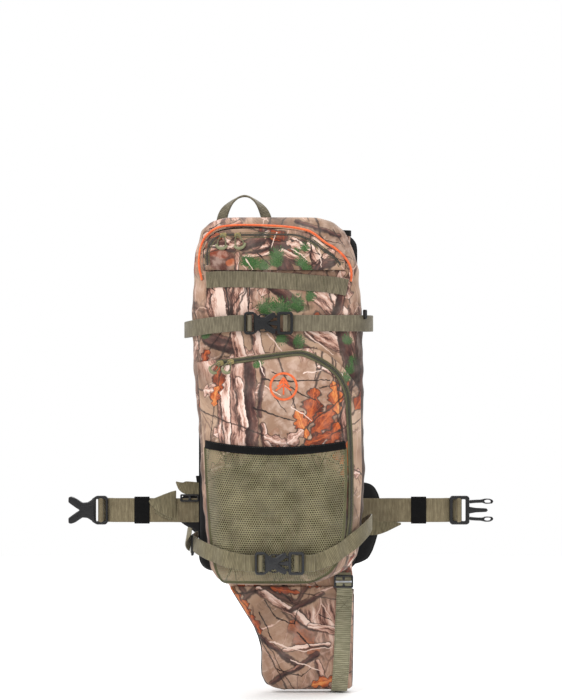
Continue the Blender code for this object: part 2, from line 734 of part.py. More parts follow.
TOP_ZIP_Y = min(top_tape_front(x, TOP_ZIP_Z, 5) for x in range(-90, 26, 6)) - 2.2
for tag, x in (("a", -84.0), ("b", -62.0)):
    e = joint_empty(f"joint_top_slider_{tag}", (x, TOP_ZIP_Y, TOP_ZIP_Z), flap)
    ride([slider(f"top_slider_{tag}", (x, TOP_ZIP_Z), TOP_ZIP_Y, 0.0)], e)
    q = (x, TOP_ZIP_Y - 3.2, TOP_ZIP_Z + 1)
    p = joint_empty(f"joint_top_pull_{tag}", q, e)
    ride([pull(f"top_pull_{tag}", (q[0], q[2]), q[1], 0.30, 0.0)], p)
ride([top_flap, top_zip], flap)

FZ_SLOPE = math.atan2(71.0 - 56.0, 114.0)
FZ_Y = min(zip_front(x, 56.0 + (x + 94) * (15.0 / 114.0), 5) for x in range(-94, 21, 6)) - 2.2
for tag, x in (("a", -88.0), ("b", -72.0)):
    z = 56.0 + (x + 94) * (15.0 / 114.0)
    e = joint_empty(f"joint_front_slider_{tag}", (x, FZ_Y, z))
    ride([slider(f"front_slider_{tag}", (x, z), FZ_Y, FZ_SLOPE)], e)
    q = (x, FZ_Y - 3.2, z + 1)
    p = joint_empty(f"joint_front_pull_{tag}", q, e)
    ride([pull(f"front_pull_{tag}", (q[0], q[2]), q[1], 0.45, 0.0)], p)

# ---------------------------------------------------------------- haul handle
HANDLE = (-52.0, -26.0, 260.8)
ARCH = [(-89, 260.3), (-89.5, 276), (-84, 296), (-70, 313), (-53, 321), (-37, 314), (-24, 298), (-17, 279),
        (-16, 260.3)]
arch = smooth_path([(x, -26, z) for x, z in ARCH], 2)
turn = []
for i in range(len(arch)):
    s = math.sin(math.pi * i / (len(arch) - 1)) ** 1.5      # 0 at the legs, 1 at the crown
    a, b = Vector(arch[max(0, i - 1)]), Vector(arch[min(len(arch) - 1, i + 1)])
    side_on = (b - a).normalized().cross(Vector((0, 1, 0)))
    turn.append(tuple(side_on * (1 - s) + Vector((0, 1, 0)) * s))
handle = joint_empty("joint_haul_handle", HANDLE)
ride([ribbon("haul_handle", arch, turn, 17.0, 3.0, OLIVE)], handle)

# ---------------------------------------------------------------- shoulder straps
SHOULDER_YZ = [(-9, 247), (-4, 268), (12, 280), (34, 279), (54, 262), (68, 232), (73, 190),
               (74, 130), (74, 60), (69, 8), (56, -42), (42, -74)]
SHOULDER_X = [48, 48, 48, 49, 51, 53, 56, 59, 63, 70, 80, 88]


def shoulder(side, word):
    route = smooth_path([(side * x, y, z) for x, (y, z) in zip(SHOULDER_X, SHOULDER_YZ)], 2)
    e = joint_empty(f"joint_shoulder_{word}", (side * 48, -9, 262))
    n = len(route)
    widths = [44 + 14 * math.sin(min(1.0, i / (n - 1) * 2.2) * math.pi / 2) - 16 * max(0.0, i / (n - 1) - 0.72) / 0.28
              for i in range(n)]

    def fn(u, v):
        i = min(n - 1, int(round((u + 1) / 2 * (n - 1))))
        return Vector(route[i]) + Vector((1, 0, 0)) * v * widths[i] / 2
    strap = grid(f"shoulder_strap_{word}", n - 1, 2, fn, SHOULDER_T, BLACK_CLOTH)
    lock = ladder_lock(f"shoulder_lock_{word}", (side * 90.5, -96), 33.5, 26, 32, 1.7, PLASTIC,
                       rotation=(math.pi / 2 + 0.40, math.pi / 2, 0))
    lock.rotation_euler = (math.pi / 2 + 0.42, math.pi / 2 - side * 0.2, 0)
    ride([strap, lock], e)
    # Webbing from the adjuster to the corner of the back panel
    a, b = Vector((side * 93, 28, -112)), Vector((side * 117, -14.6, -116))
    pts = [tuple(a.lerp(b, t / 4)) for t in range(5)]
    ribbon(f"shoulder_webbing_{word}", pts, (0, 0.02, 1), 22.0, WEB_T, OLIVE)
    # Sternum strap half: it hangs from the shoulder strap
    s = joint_empty(f"joint_sternum_slide_{word}", (side * 60, 82.4, 100), e)
    web = ribbon(f"sternum_webbing_{word}", [(side * 60, 82.4, 112), (side * 60, 82.4, 90), (side * 60, 82.4, 66)],
                 (1, 0, 0), 20.0, 1.4, OLIVE)
    ride([web], s)
    p = joint_empty(f"joint_sternum_swing_{word}", (side * 60, 87.6, 61.0), s)
    if side < 0:
        half = block(f"sternum_buckle_female", (-60 - 12, 84.2, 30), (-60 + 12, 91.0, 66), PLASTIC, bevel=2.0, segments=1)
        subtract(half, block("sternum_mouth", (-60 - 8.5, 85.9, 20), (-60 + 8.5, 89.3, 52), None))
    else:
        half = plate("sternum_buckle_male",
                     [(-11, 64), (-11, 50), (-8, 46), (-8.0, 30), (-5, 30), (-4.5, 44), (-1.6, 44), (-1.6, 32),
                      (1.6, 32), (1.6, 44), (4.5, 44), (5, 30), (8.0, 30), (8, 46), (11, 50), (11, 64)],
                     [[(-8, 61.5), (-8, 57.5), (8, 57.5), (8, 61.5)]], 87.6, 1.8, PLASTIC, (60, 0))
    ride([half], p)


shoulder(-1, "left")
shoulder(1, "right")


# ---------------------------------------------------------------- hip belt
def fin_outline(side):
    pts = [(95, -262), (126, -263), (144, -252), (154, -226), (161, -197), (161, -160), (153, -140),
           (136, -132), (95, -132)]
    return [(side * x, z) for x, z in rounded(pts, 8, 2)]


def hip(side, word):
    e = joint_empty(f"joint_hip_fin_{word}", (side * 93, -9, -197))
    f = as_mesh(plate(f"hip_fin_{word}", fin_outline(side), [], -9.0, 5.8, FOAM))
    f.data.materials.append(FOAM)
    ride([f], e)
    we = joint_empty(f"joint_belt_{word}", (side * 165, -12, -177), e)
    zb = -176.0
    end = 268.0 if side < 0 else 270.0
    web = ribbon(f"belt_webbing_{word}", [(side * x, -12, zb) for x in (162.6, 200, 235, end)],
                 (0, 0, 1), BELT, BELT_T, OLIVE)
    k = BELT_BUCKLE_K
    if side < 0:
        at = (-(end + 0.6) - 39 * k, zb)
        ride([web, female("belt_buckle_female", at, -12.0, k, PLASTIC, -1.0)], we)
    else:
        at = ((end + 0.6) + 36 * k, zb)
        ride([web, male("belt_buckle_male", at, -12.0, k, PLASTIC, -1.0)], we)
        for sd, wd in ((1, "upper"), (-1, "lower")):
            p = joint_empty(f"joint_belt_prong_{wd}", (at[0] - 11.4 * k, -12, at[1] + 10 * k * sd), we)
            ride([prong(f"belt_prong_{wd}", sd, at, -12.0, k, PLASTIC, -1.0)], p)
    kx = -215.0 if side < 0 else 222.0
    ke = joint_empty(f"joint_keeper_{word}", (kx, -12, zb), we)
    keeper = block(f"belt_keeper_{word}", (kx - 12, -14.6, zb - 21.4), (kx + 12, -9.4, zb + 21.4), BLACK_CLOTH,
                   bevel=1.2, segments=1)
    subtract(keeper, block(f"keeper_slot_{word}", (kx - 20, -13.5, zb - 19.6), (kx + 20, -10.5, zb + 19.6), None))
    ride([keeper], ke)


hip(-1, "left")
hip(1, "right")

# ---------------------------------------------------------------- rifle boot
BOOT_L = [(-452, -2), (-446, -17), (-430, -27), (-406, -25), (-384, -27), (-354, -38), (-296, -74)]
BOOT_R = [(-452, 116), (-296, 119)]
BOOT_Z = [-450, -443, -425, -400, -354, -325, -297]
BOOT_HINGE = (0, -87.5, -295.5)


def boot_half(z):
    """Half of the boot's depth, front to back."""
    return table([(-450, 17), (-443, 20), (-425, 23.5), (-400, 24.5), (-297, 24.5)], z)


def boot_point(u, v, w):
    z = level(BOOT_Z, w)
    a, b = table(BOOT_L, z), table(BOOT_R, z)
    return (a + b) / 2 + u * (b - a) / 2, -60.5 + boot_half(z) * (0.75 if abs(u) > 0.99 else 1.0) * v, z


boot = joint_empty("joint_boot_fold", BOOT_HINGE)
boot_body = box_grid("rifle_boot", (5, 1, 6), boot_point, CAMO, drop=("+z",), thickness=2.2)

# Webbing down the boot's front, under its base and a little way up behind
STRIP = [(103.5, -87.0, -297), (102, -87.0, -330), (99, -87.0, -400), (97.5, -85.9, -425), (96, -82.5, -443),
         (95.5, -80.0, -452), (95, -76, -453.2), (94.5, -45, -453.2), (94.5, -41, -452), (94.5, -38.5, -443),
         (94.5, -35.2, -425)]
strip = ribbon("boot_webbing", STRIP, (1, 0, 0), WEB, WEB_T, OLIVE)
ride([boot_body, strip], boot)
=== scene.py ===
"""Looks of the hunting backpack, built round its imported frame.

Lengths in this script are in millimetres, in the frame's axes (+Z up, the pack's front
faces -Y), and are turned into metres when a mesh is made.
"""
import math

import bmesh
import bpy
import numpy as np
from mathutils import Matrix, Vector, noise
from mathutils.bvhtree import BVHTree


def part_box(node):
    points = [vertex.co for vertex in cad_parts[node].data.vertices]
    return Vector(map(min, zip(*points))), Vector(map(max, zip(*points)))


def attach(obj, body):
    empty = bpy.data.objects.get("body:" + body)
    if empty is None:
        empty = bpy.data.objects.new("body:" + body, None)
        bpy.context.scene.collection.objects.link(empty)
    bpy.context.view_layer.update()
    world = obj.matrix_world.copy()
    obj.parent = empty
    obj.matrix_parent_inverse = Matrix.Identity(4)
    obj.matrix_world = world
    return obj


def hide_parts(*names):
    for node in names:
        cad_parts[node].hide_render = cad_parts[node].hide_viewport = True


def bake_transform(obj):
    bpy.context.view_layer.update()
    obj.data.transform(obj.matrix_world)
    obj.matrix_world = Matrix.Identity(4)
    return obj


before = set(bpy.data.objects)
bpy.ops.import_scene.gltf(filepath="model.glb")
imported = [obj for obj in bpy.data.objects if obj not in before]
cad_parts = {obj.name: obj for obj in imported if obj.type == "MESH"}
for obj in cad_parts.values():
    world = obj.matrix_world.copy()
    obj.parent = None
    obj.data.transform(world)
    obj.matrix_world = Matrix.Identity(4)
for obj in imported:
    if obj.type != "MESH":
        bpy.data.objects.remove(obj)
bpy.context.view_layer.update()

MM = 0.001
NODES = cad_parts

# ------------------------------------------------------------------ the pack's outlines
LEFT = [(-283, -80), (-276, -93), (-262, -101), (-240, -107), (-200, -112), (-120, -118), (-70, -120),
        (0, -125), (60, -130), (130, -132), (200, -130), (235, -126), (262, -117),
        (276, -103), (282, -82)]
RIGHT = [(-283, 45), (-276, 76), (-262, 104), (-240, 122), (-200, 129), (-120, 134), (-70, 133),
         (0, 132), (60, 131), (130, 129), (200, 124), (235, 115), (262, 101),
         (276, 84), (282, 62)]
FRONT = [(-283, -138), (-276, -146), (-262, -152), (-240, -154), (0, -155), (185, -155), (200, -154),
         (232, -149), (262, -139), (276, -124), (282, -108)]
Y_REAR = -86.0
CORNER = 35.0
FLAP_TOP = [(-113, 228), (-106, 245), (-96, 254.5), (-86, 258.5), (-70, 261), (-40, 262),
            (7, 261), (37, 257), (54, 250), (72, 236), (89, 226), (101, 214)]
FLAP_BOTTOM = 201.0
PIPING = [(-116, 184), (-120, 200), (-121, 216), (-118, 236), (-110, 252.5), (-94, 264),
          (-70, 268), (-40, 268.5), (7, 266.5), (38, 262.5), (54, 257), (72, 243),
          (89, 232.5), (102, 220), (110, 207), (112.5, 194), (111, 182)]
TAPE_TOP = [(-107, 206), (-108, 226), (-102, 241), (-93, 250), (-84, 253), (-60, 253),
            (-20, 253), (20, 253), (38, 249.5), (54, 242), (70, 229), (87, 218), (96, 206)]
FRONT_ZIP = [(-94, 56.0), (-60, 60.5), (-20, 65.7), (20, 71.0), (38, 71.5), (54, 65.5), (74, 54.5),
             (90, 41), (100, 24), (106, 5), (108, -30), (110, -70), (111, -120), (110, -180), (104, -226)]
MESH_TOP = -72.0
Z_BASE = -283.0


def smoothed(rows, blur=9.0):
    """A table as a function, rounded over blur mm, with its two ends kept."""
    a = np.array(rows, float)
    a = a[np.argsort(a[:, 0])]
    t = np.arange(a[0, 0], a[-1, 0] + 0.5, 0.5)
    v = np.interp(t, a[:, 0], a[:, 1])
    n = max(1, int(blur))
    kernel = np.hanning(2 * n + 3)[1:-1]
    kernel /= kernel.sum()
    padded_v = np.concatenate([2 * v[0] - v[n:0:-1], v, 2 * v[-1] - v[-2:-n - 2:-1]])
    out = np.convolve(padded_v, kernel, "valid")
    return lambda x: np.interp(x, t, out)


left_at, right_at, front_at = smoothed(LEFT), smoothed(RIGHT), smoothed(FRONT, 7)


def pocket_top(x):
    z = 61.0 + 0.13 * (x + 90.0)
    return z - np.where(x > 40, (x - 40) ** 2 / 95.0, 0.0)


# ------------------------------------------------------------------ small geometry tools
def link(ob):
    bpy.context.scene.collection.objects.link(ob)
    return ob


def smooth_noise(p, scale, seed=0.0):
    """Signed noise of each point in an (n, 3) array, scale in mm."""
    s = 1.0 / scale
    return np.array([noise.noise(Vector((q[0] * s + seed, q[1] * s - seed * 0.7, q[2] * s + seed * 1.3)))
                     for q in p])


def fold(x, z, ax, az, bx, bz, wide, high):
    """A soft ridge along a segment in the front view; high in mm, and wide its half width."""
    dx, dz = bx - ax, bz - az
    ll = dx * dx + dz * dz
    t = np.clip(((x - ax) * dx + (z - az) * dz) / ll, 0, 1)
    d = np.hypot(x - ax - t * dx, z - az - t * dz)
    taper = np.sin(np.clip(t * 0.92 + 0.04, 0, 1) * math.pi) ** 0.6
    return high * taper * np.exp(-(d / wide) ** 2)


def catmull(points, step=None, per=10):
    """A smooth route through points, evenly spaced at about step mm."""
    pts = np.array(points, float)
    pts = np.vstack([2 * pts[0] - pts[1], pts, 2 * pts[-1] - pts[-2]])
    out = []
    for i in range(1, len(pts) - 2):
        a, b, c, d = pts[i - 1:i + 3]
        for k in range(per):
            t = k / per
            out.append(0.5 * ((2 * b) + (c - a) * t + (2 * a - 5 * b + 4 * c - d) * t * t
                              + (3 * b - a - 3 * c + d) * t ** 3))
    out.append(pts[-2])
    out = np.array(out)
    if step is None:
        return out
    return evenly(out, step)


def evenly(route, step):
    route = np.array(route, float)
    seg = np.linalg.norm(np.diff(route, axis=0), axis=1)
    at = np.concatenate([[0], np.cumsum(seg)])
    n = max(2, int(round(at[-1] / step)) + 1)
    s = np.linspace(0, at[-1], n)
    return np.stack([np.interp(s, at, route[:, k]) for k in range(route.shape[1])], 1)


def lengths(route):
    return np.concatenate([[0], np.cumsum(np.linalg.norm(np.diff(route, axis=0), axis=1))])


def unit(v):
    v = np.asarray(v, float)
    return v / np.maximum(np.linalg.norm(v, axis=-1, keepdims=True), 1e-12)


def tangents(route):
    t = np.empty_like(route)
    t[1:-1] = route[2:] - route[:-2]
    t[0], t[-1] = route[1] - route[0], route[-1] - route[-2]
    return unit(t)


def make(name, verts, faces, mat, uvs=None, smooth=True):
    """A mesh piece. verts are in mm; uvs are one (u, v) for each face corner, in metres."""
    me = bpy.data.meshes.new(name)
    me.from_pydata((np.asarray(verts, float) * MM).tolist(), [], [tuple(int(i) for i in f) for f in faces])
    if uvs is not None:
        layer = me.uv_layers.new(name="cloth")
        layer.data.foreach_set("uv", np.asarray(uvs, np.float32).ravel())
    me.update()
    if smooth:
        me.shade_smooth()
    ob = link(bpy.data.objects.new(name, me))
    for m in (mat if isinstance(mat, (list, tuple)) else [mat]):
        me.materials.append(m)
    return ob


def lattice(name, P, mat, uv=None, wrap=False, ends=False, smooth=True, build=True):
    """A surface through P[i][j]. wrap joins the last column to the first; ends closes the
    first and last rows, each a ring, with a face. uv is (n, m or m + 1, 2) in metres."""
    P = np.asarray(P, float)
    n, m = P.shape[:2]
    cols = m if wrap else m - 1
    faces, loops = [], []
    idx = np.arange(n * m).reshape(n, m)
    for i in range(n - 1):
        for j in range(cols):
            k = (j + 1) % m
            faces.append((idx[i, j], idx[i, k], idx[i + 1, k], idx[i + 1, j]))
            if uv is not None:
                k2 = j + 1 if uv.shape[1] > m else k
                loops += [uv[i, j], uv[i, k2], uv[i + 1, k2], uv[i + 1, j]]
    if ends and wrap:
        for i, order in ((0, -1), (n - 1, 1)):
            ring = list(range(m))[::order]
            faces.append(tuple(idx[i, j] for j in ring))
            if uv is not None:
                loops += [uv[i, j] for j in ring]
    verts = P.reshape(-1, 3)
    if not build:
        return verts, faces, loops
    return make(name, verts, faces, mat, loops if uv is not None else None, smooth)


def together(name, parts, mat, smooth=True):
    """One piece from several (verts, faces, loops or None)."""
    verts, faces, loops, base = [], [], [], 0
    for v, f, l in parts:
        verts.append(np.asarray(v, float))
        faces += [tuple(int(i) + base for i in q) for q in f]
        loops += list(l) if l is not None and len(l) else [(0, 0)] * sum(len(q) for q in f)
        base += len(v)
    return make(name, np.vstack(verts), faces, mat, loops, smooth)


BAND = [(-1.0, 0.0), (-0.985, 0.62), (-0.95, 0.95), (-0.9, 1.0), (-0.6, 0.93), (-0.3, 0.93), (0.0, 0.93),
        (0.3, 0.93), (0.6, 0.93), (0.9, 1.0), (0.95, 0.95), (0.985, 0.62), (1.0, 0.0)]
BAND = BAND + [(a, -b) for a, b in reversed(BAND[1:-1])]


def band(path, across, width, thick, step=2.0, rib=0.0, pitch=2.4, curl=0.0, build=None, mat=None,
         smooth_route=True, v0=0.0):
    """Webbing along path, with selvedges and, with rib, its cross ribs as real relief.
    across is its width direction, one for all points or one each."""
    path = np.array(path, float)
    ways = np.array(across, float)
    if ways.ndim == 1:
        ways = np.tile(ways, (len(path), 1))
    widths = np.broadcast_to(np.asarray(width, float), (len(path),)).reshape(-1, 1)
    all_in = np.hstack([path, unit(ways), widths])
    if smooth_route and len(path) > 2:
        pts = catmull(all_in, None, 12)
    else:
        pts = all_in
    if rib:
        step = min(step, pitch / 4)
    at = lengths(pts[:, :3])
    s = np.linspace(0, at[-1], max(2, int(round(at[-1] / step)) + 1))
    pts = np.stack([np.interp(s, at, pts[:, k]) for k in range(7)], 1)
    route, w = pts[:, :3], unit(pts[:, 3:6])
    t = tangents(route)
    w = unit(w - t * (w * t).sum(1, keepdims=True))
    nrm = np.cross(w, t)
    half = pts[:, 6] / 2
    prof = np.array(BAND)
    wave = 1 + rib * np.sin(2 * math.pi * s / pitch)
    P = np.empty((len(s), len(prof), 3))
    UV = np.empty((len(s), len(prof) + 1, 2))
    for j, (a, b) in enumerate(prof):
        edge = abs(a) > 0.92
        bulge = b * (np.ones_like(s) if edge else wave) * thick / 2
        lift = curl * (a * a - 0.33)
        P[:, j] = route + w * (a * half)[:, None] + nrm * (bulge + lift)[:, None]
        UV[:, j, 0], UV[:, j, 1] = s * MM, (a * half) * MM + v0
    UV[:, -1] = UV[:, 0]
    return lattice(build or "band", P, mat, UV, wrap=True, ends=True, build=build is not None)


def webbing(name, path, across, width, thick, mat, **kw):
    return band(path, across, width, thick, build=name, mat=mat, **kw)


def frames(route, up=(0, 0, 1)):
    """Turning directions along a route without twist."""
    t = tangents(route)
    n = np.empty_like(t)
    a = np.array(up, float)
    if abs(np.dot(a, t[0])) > 0.95:
        a = np.array((1.0, 0, 0))
    n[0] = unit(a - t[0] * np.dot(a, t[0]))
    for i in range(1, len(t)):
        v = n[i - 1] - t[i] * np.dot(n[i - 1], t[i])
        n[i] = unit(v)
    return n, np.cross(t, n)


def rope(path, radius, step=1.2, sides=10, build=None, mat=None, cyclic=False, through=True, flat=1.0,
         up=(0, 0, 1)):
    """A round cord, or an oval one with flat under 1, along path."""
    route = catmull(path, step) if through else evenly(path, step)
    n, b = frames(route, up)
    at = lengths(route)
    r = np.broadcast_to(np.asarray(radius, float), (len(route),)) if np.ndim(radius) == 0 else \
        np.interp(np.linspace(0, 1, len(route)), np.linspace(0, 1, len(radius)), radius)
    P = np.empty((len(route), sides, 3))
    UV = np.empty((len(route), sides + 1, 2))
    for j in range(sides + 1):
        a = 2 * math.pi * j / sides
        if j < sides:
            P[:, j] = route + (n * math.cos(a) * flat + b * math.sin(a)) * r[:, None]
        UV[:, j, 0], UV[:, j, 1] = at * MM, a * float(r.mean()) * MM
    return lattice(build or "rope", P, mat, UV, wrap=True, ends=True, build=build is not None)


def stitch_parts(path, normal, pitch=3.4, long=2.3, radius=0.34, out=0.15):
    """Thread stitches along a route: a short bead for each, half sunk into the cloth."""
    route = evenly(path, 0.6)
    at = lengths(route)
    nr = np.array(normal, float)
    parts = []
    s = pitch / 2
    while s < at[-1] - pitch / 2:
        a = np.array([np.interp(s - long / 2, at, route[:, k]) for k in range(3)])
        b = np.array([np.interp(s + long / 2, at, route[:, k]) for k in range(3)])
        nn = nr if nr.ndim == 1 else np.array([np.interp(s / at[-1], np.linspace(0, 1, len(nr)), nr[:, k])
                                               for k in range(3)])
        nn = unit(nn)
        t = unit(b - a)
        w = np.cross(t, nn)
        ring = []
        for q, k in ((0.0, 0.35), (0.2, 1.0), (0.8, 1.0), (1.0, 0.35)):
            c = a + (b - a) * q + nn * (out if k == 1 else -0.2)
            ring.append([c + (w * math.cos(g) + nn * math.sin(g)) * radius * k
                         for g in np.linspace(0, 2 * math.pi, 7)[:-1]])
        parts.append(lattice("s", np.array(ring), None, None, wrap=True, ends=True, build=False))
        s += pitch
    return parts


def stitches(name, runs, mat, **kw):
    """One piece of thread from several (route, normal) runs."""
    parts = []
    for path, normal in runs:
        parts += stitch_parts(path, normal, **kw)
    return together(name, parts, mat)


def rounded(points, radius, steps=4):
    out = []
    n = len(points)
    for i in range(n):
        p0, p1, p2 = (np.array(points[(i + k) % n], float) for k in (-1, 0, 1))
        la, lb = np.linalg.norm(p0 - p1), np.linalg.norm(p2 - p1)
        a = p1 + (p0 - p1) / la * min(radius, la * 0.45)
        b = p1 + (p2 - p1) / lb * min(radius, lb * 0.45)
        for k in range(steps + 1):
            t = k / steps
            out.append(tuple(a * (1 - t) ** 2 + p1 * 2 * t * (1 - t) + b * t ** 2))
    return out


def inset(loop, d):
    e = unit(np.roll(loop, -1, 0) - loop)
    na = np.stack([-e[:, 1], e[:, 0]], 1)
    nb = np.roll(na, 1, 0)
    n = unit(na + nb)
    k = 1 / np.maximum(0.45, (n * na).sum(1))
    return loop + n * (d * k)[:, None]


def plate_mesh(outline, holes, half, bevel=0.6, steps=3, dome=0.0):
    """A moulded plate in its own XZ plane: outline and holes with rounded edges."""
    loops = []
    for k, pts in enumerate([outline, *holes]):
        a = np.array(pts, float)
        a = a[np.linalg.norm(a - np.roll(a, 1, 0), axis=1) > 1e-4]
        area = 0.5 * np.sum(a[:, 0] * np.roll(a[:, 1], -1) - np.roll(a[:, 0], -1) * a[:, 1])
        if area < 0:
            a = a[::-1]
        loops.append((a, 1.0 if k == 0 else -1.0))
    bevel = min(bevel, half * 0.98)
    prof = [(bevel * (1 - math.sin(q)), half - bevel * (1 - math.cos(q)))
            for q in np.linspace(0, math.pi / 2, steps + 1)]
    prof = prof + [(i, -y) for i, y in reversed(prof)]
    bm = bmesh.new()
    caps = ([], [])
    for a, sign in loops:
        rings = []
        for i, y in prof:
            p = inset(a, i * sign)
            rings.append([bm.verts.new((q[0], -y, q[1])) for q in p])
        m = len(a)
        for r0, r1 in zip(rings, rings[1:]):
            for j in range(m):
                f = (r0[j], r0[(j + 1) % m], r1[(j + 1) % m], r1[j])
                bm.faces.new(f if sign < 0 else f[::-1])
        for cap, ring in ((caps[0], rings[0]), (caps[1], rings[-1])):
            cap += [bm.edges.get((ring[j], ring[(j + 1) % m])) for j in range(m)]
    for cap in caps:
        bmesh.ops.triangle_fill(bm, use_beauty=True, use_dissolve=False, edges=cap)
    bmesh.ops.recalc_face_normals(bm, faces=bm.faces)
    return bm


def from_bm(name, bm, mat, sharp=35.0, matrix=None):
    """A piece from a bmesh in mm."""
    for v in bm.verts:
        v.co *= MM
    me = bpy.data.meshes.new(name)
    bm.to_mesh(me)
    bm.free()
    ob = link(bpy.data.objects.new(name, me))
    me.materials.append(mat)
    me.shade_smooth()
    me.set_sharp_from_angle(angle=math.radians(sharp))
    return ob


def place(ob, at, y, flip=1.0, tilt=0.0):
    """Puts a plate's own plane at (x, z) and depth y, mirrored and turned, into its mesh."""
    c, s = math.cos(tilt), math.sin(tilt)
    for v in ob.data.vertices:
        x, yy, z = v.co
        x *= flip
        v.co = (x * c - z * s + at[0] * MM, yy + y * MM, x * s + z * c + at[1] * MM)
    if flip < 0:
        ob.data.flip_normals()
    ob.data.update()
    return ob


def apply_all(ob):
    """Modifiers become part of the mesh."""
    bpy.context.view_layer.update()
    graph = bpy.context.evaluated_depsgraph_get()
    me = bpy.data.meshes.new_from_object(ob.evaluated_get(graph), preserve_all_data_layers=True, depsgraph=graph)
    old = ob.data
    ob.modifiers.clear()
    ob.data = me
    bpy.data.meshes.remove(old)
    return ob


def cut(ob, *cutters):
    for c in cutters:
        m = ob.modifiers.new("cut", "BOOLEAN")
        m.operation, m.object, m.solver = "DIFFERENCE", c, "EXACT"
    apply_all(ob)
    for c in cutters:
        bpy.data.objects.remove(c)
    return ob


def box_bm(lo, hi, bevel=0.0, segments=3):
    bm = bmesh.new()
    bmesh.ops.create_cube(bm, size=1.0)
    for v in bm.verts:
        v.co = Vector([(lo[k] + hi[k]) / 2 + v.co[k] * (hi[k] - lo[k]) for k in range(3)])
    if bevel:
        bmesh.ops.bevel(bm, geom=list(bm.edges), offset=bevel, segments=segments, profile=0.5, affect="EDGES")
    return bm


def thicken(ob, mm, offset=-1.0, lining=False):
    s = ob.modifiers.new("wall", "SOLIDIFY")
    s.thickness, s.offset = mm * MM, offset
    s.use_even_offset = True
    if lining:
        s.material_offset, s.material_offset_rim = 1, 0
    return s


def front_of(*obs, miss=None):
    """x, z to the nearest front surface of these pieces, looking from -Y."""
    bpy.context.view_layer.update()
    graph = bpy.context.evaluated_depsgraph_get()
    trees = [BVHTree.FromObject(ob, graph) for ob in obs]

    def y_at(x, z, reach=0.0):
        best = None
        for dx in ((0,) if not reach else (-reach, 0, reach)):
            for dz in ((0,) if not reach else (-reach, -reach / 2, 0, reach / 2, reach)):
                for tree in trees:
                    hit = tree.ray_cast(Vector(((x + dx) * MM, -1, (z + dz) * MM)), Vector((0, 1, 0)))[0]
                    if hit is not None:
                        best = hit.y / MM if best is None else min(best, hit.y / MM)
        if best is None:
            return miss(x, z) if miss else Y_REAR
        return best
    return y_at


def laid(y_at, flat, out, step=3.0, e=2.5):
    """A tape's route over a surface and its width directions; flat holds (x, z)."""
    pts = catmull([(x, z) for x, z in flat], step)
    t2 = tangents(pts)
    route, ways, norms = [], [], []
    for (x, z), (tx, tz) in zip(pts, t2):
        n = unit(np.array((y_at(x + e, z) - y_at(x - e, z), -2 * e, y_at(x, z + e) - y_at(x, z - e))))
        t = unit(np.array((tx, 0, tz)) - n * (n[0] * tx + n[2] * tz))
        route.append(np.array((x, y_at(x, z), z)) + n * out)
        ways.append(np.cross(t, n))
        norms.append(n)
    route, norms = np.array(route), np.array(norms)
    # one pass of smoothing keeps the tape from copying each small wrinkle
    k = np.array([1, 2, 3, 2, 1.0])
    k /= k.sum()
    for a in (route, norms):
        body = np.stack([np.convolve(a[:, c], k, "valid") for c in range(3)], 1)
        a[2:-2] = body
    return route, np.array(ways), unit(norms)

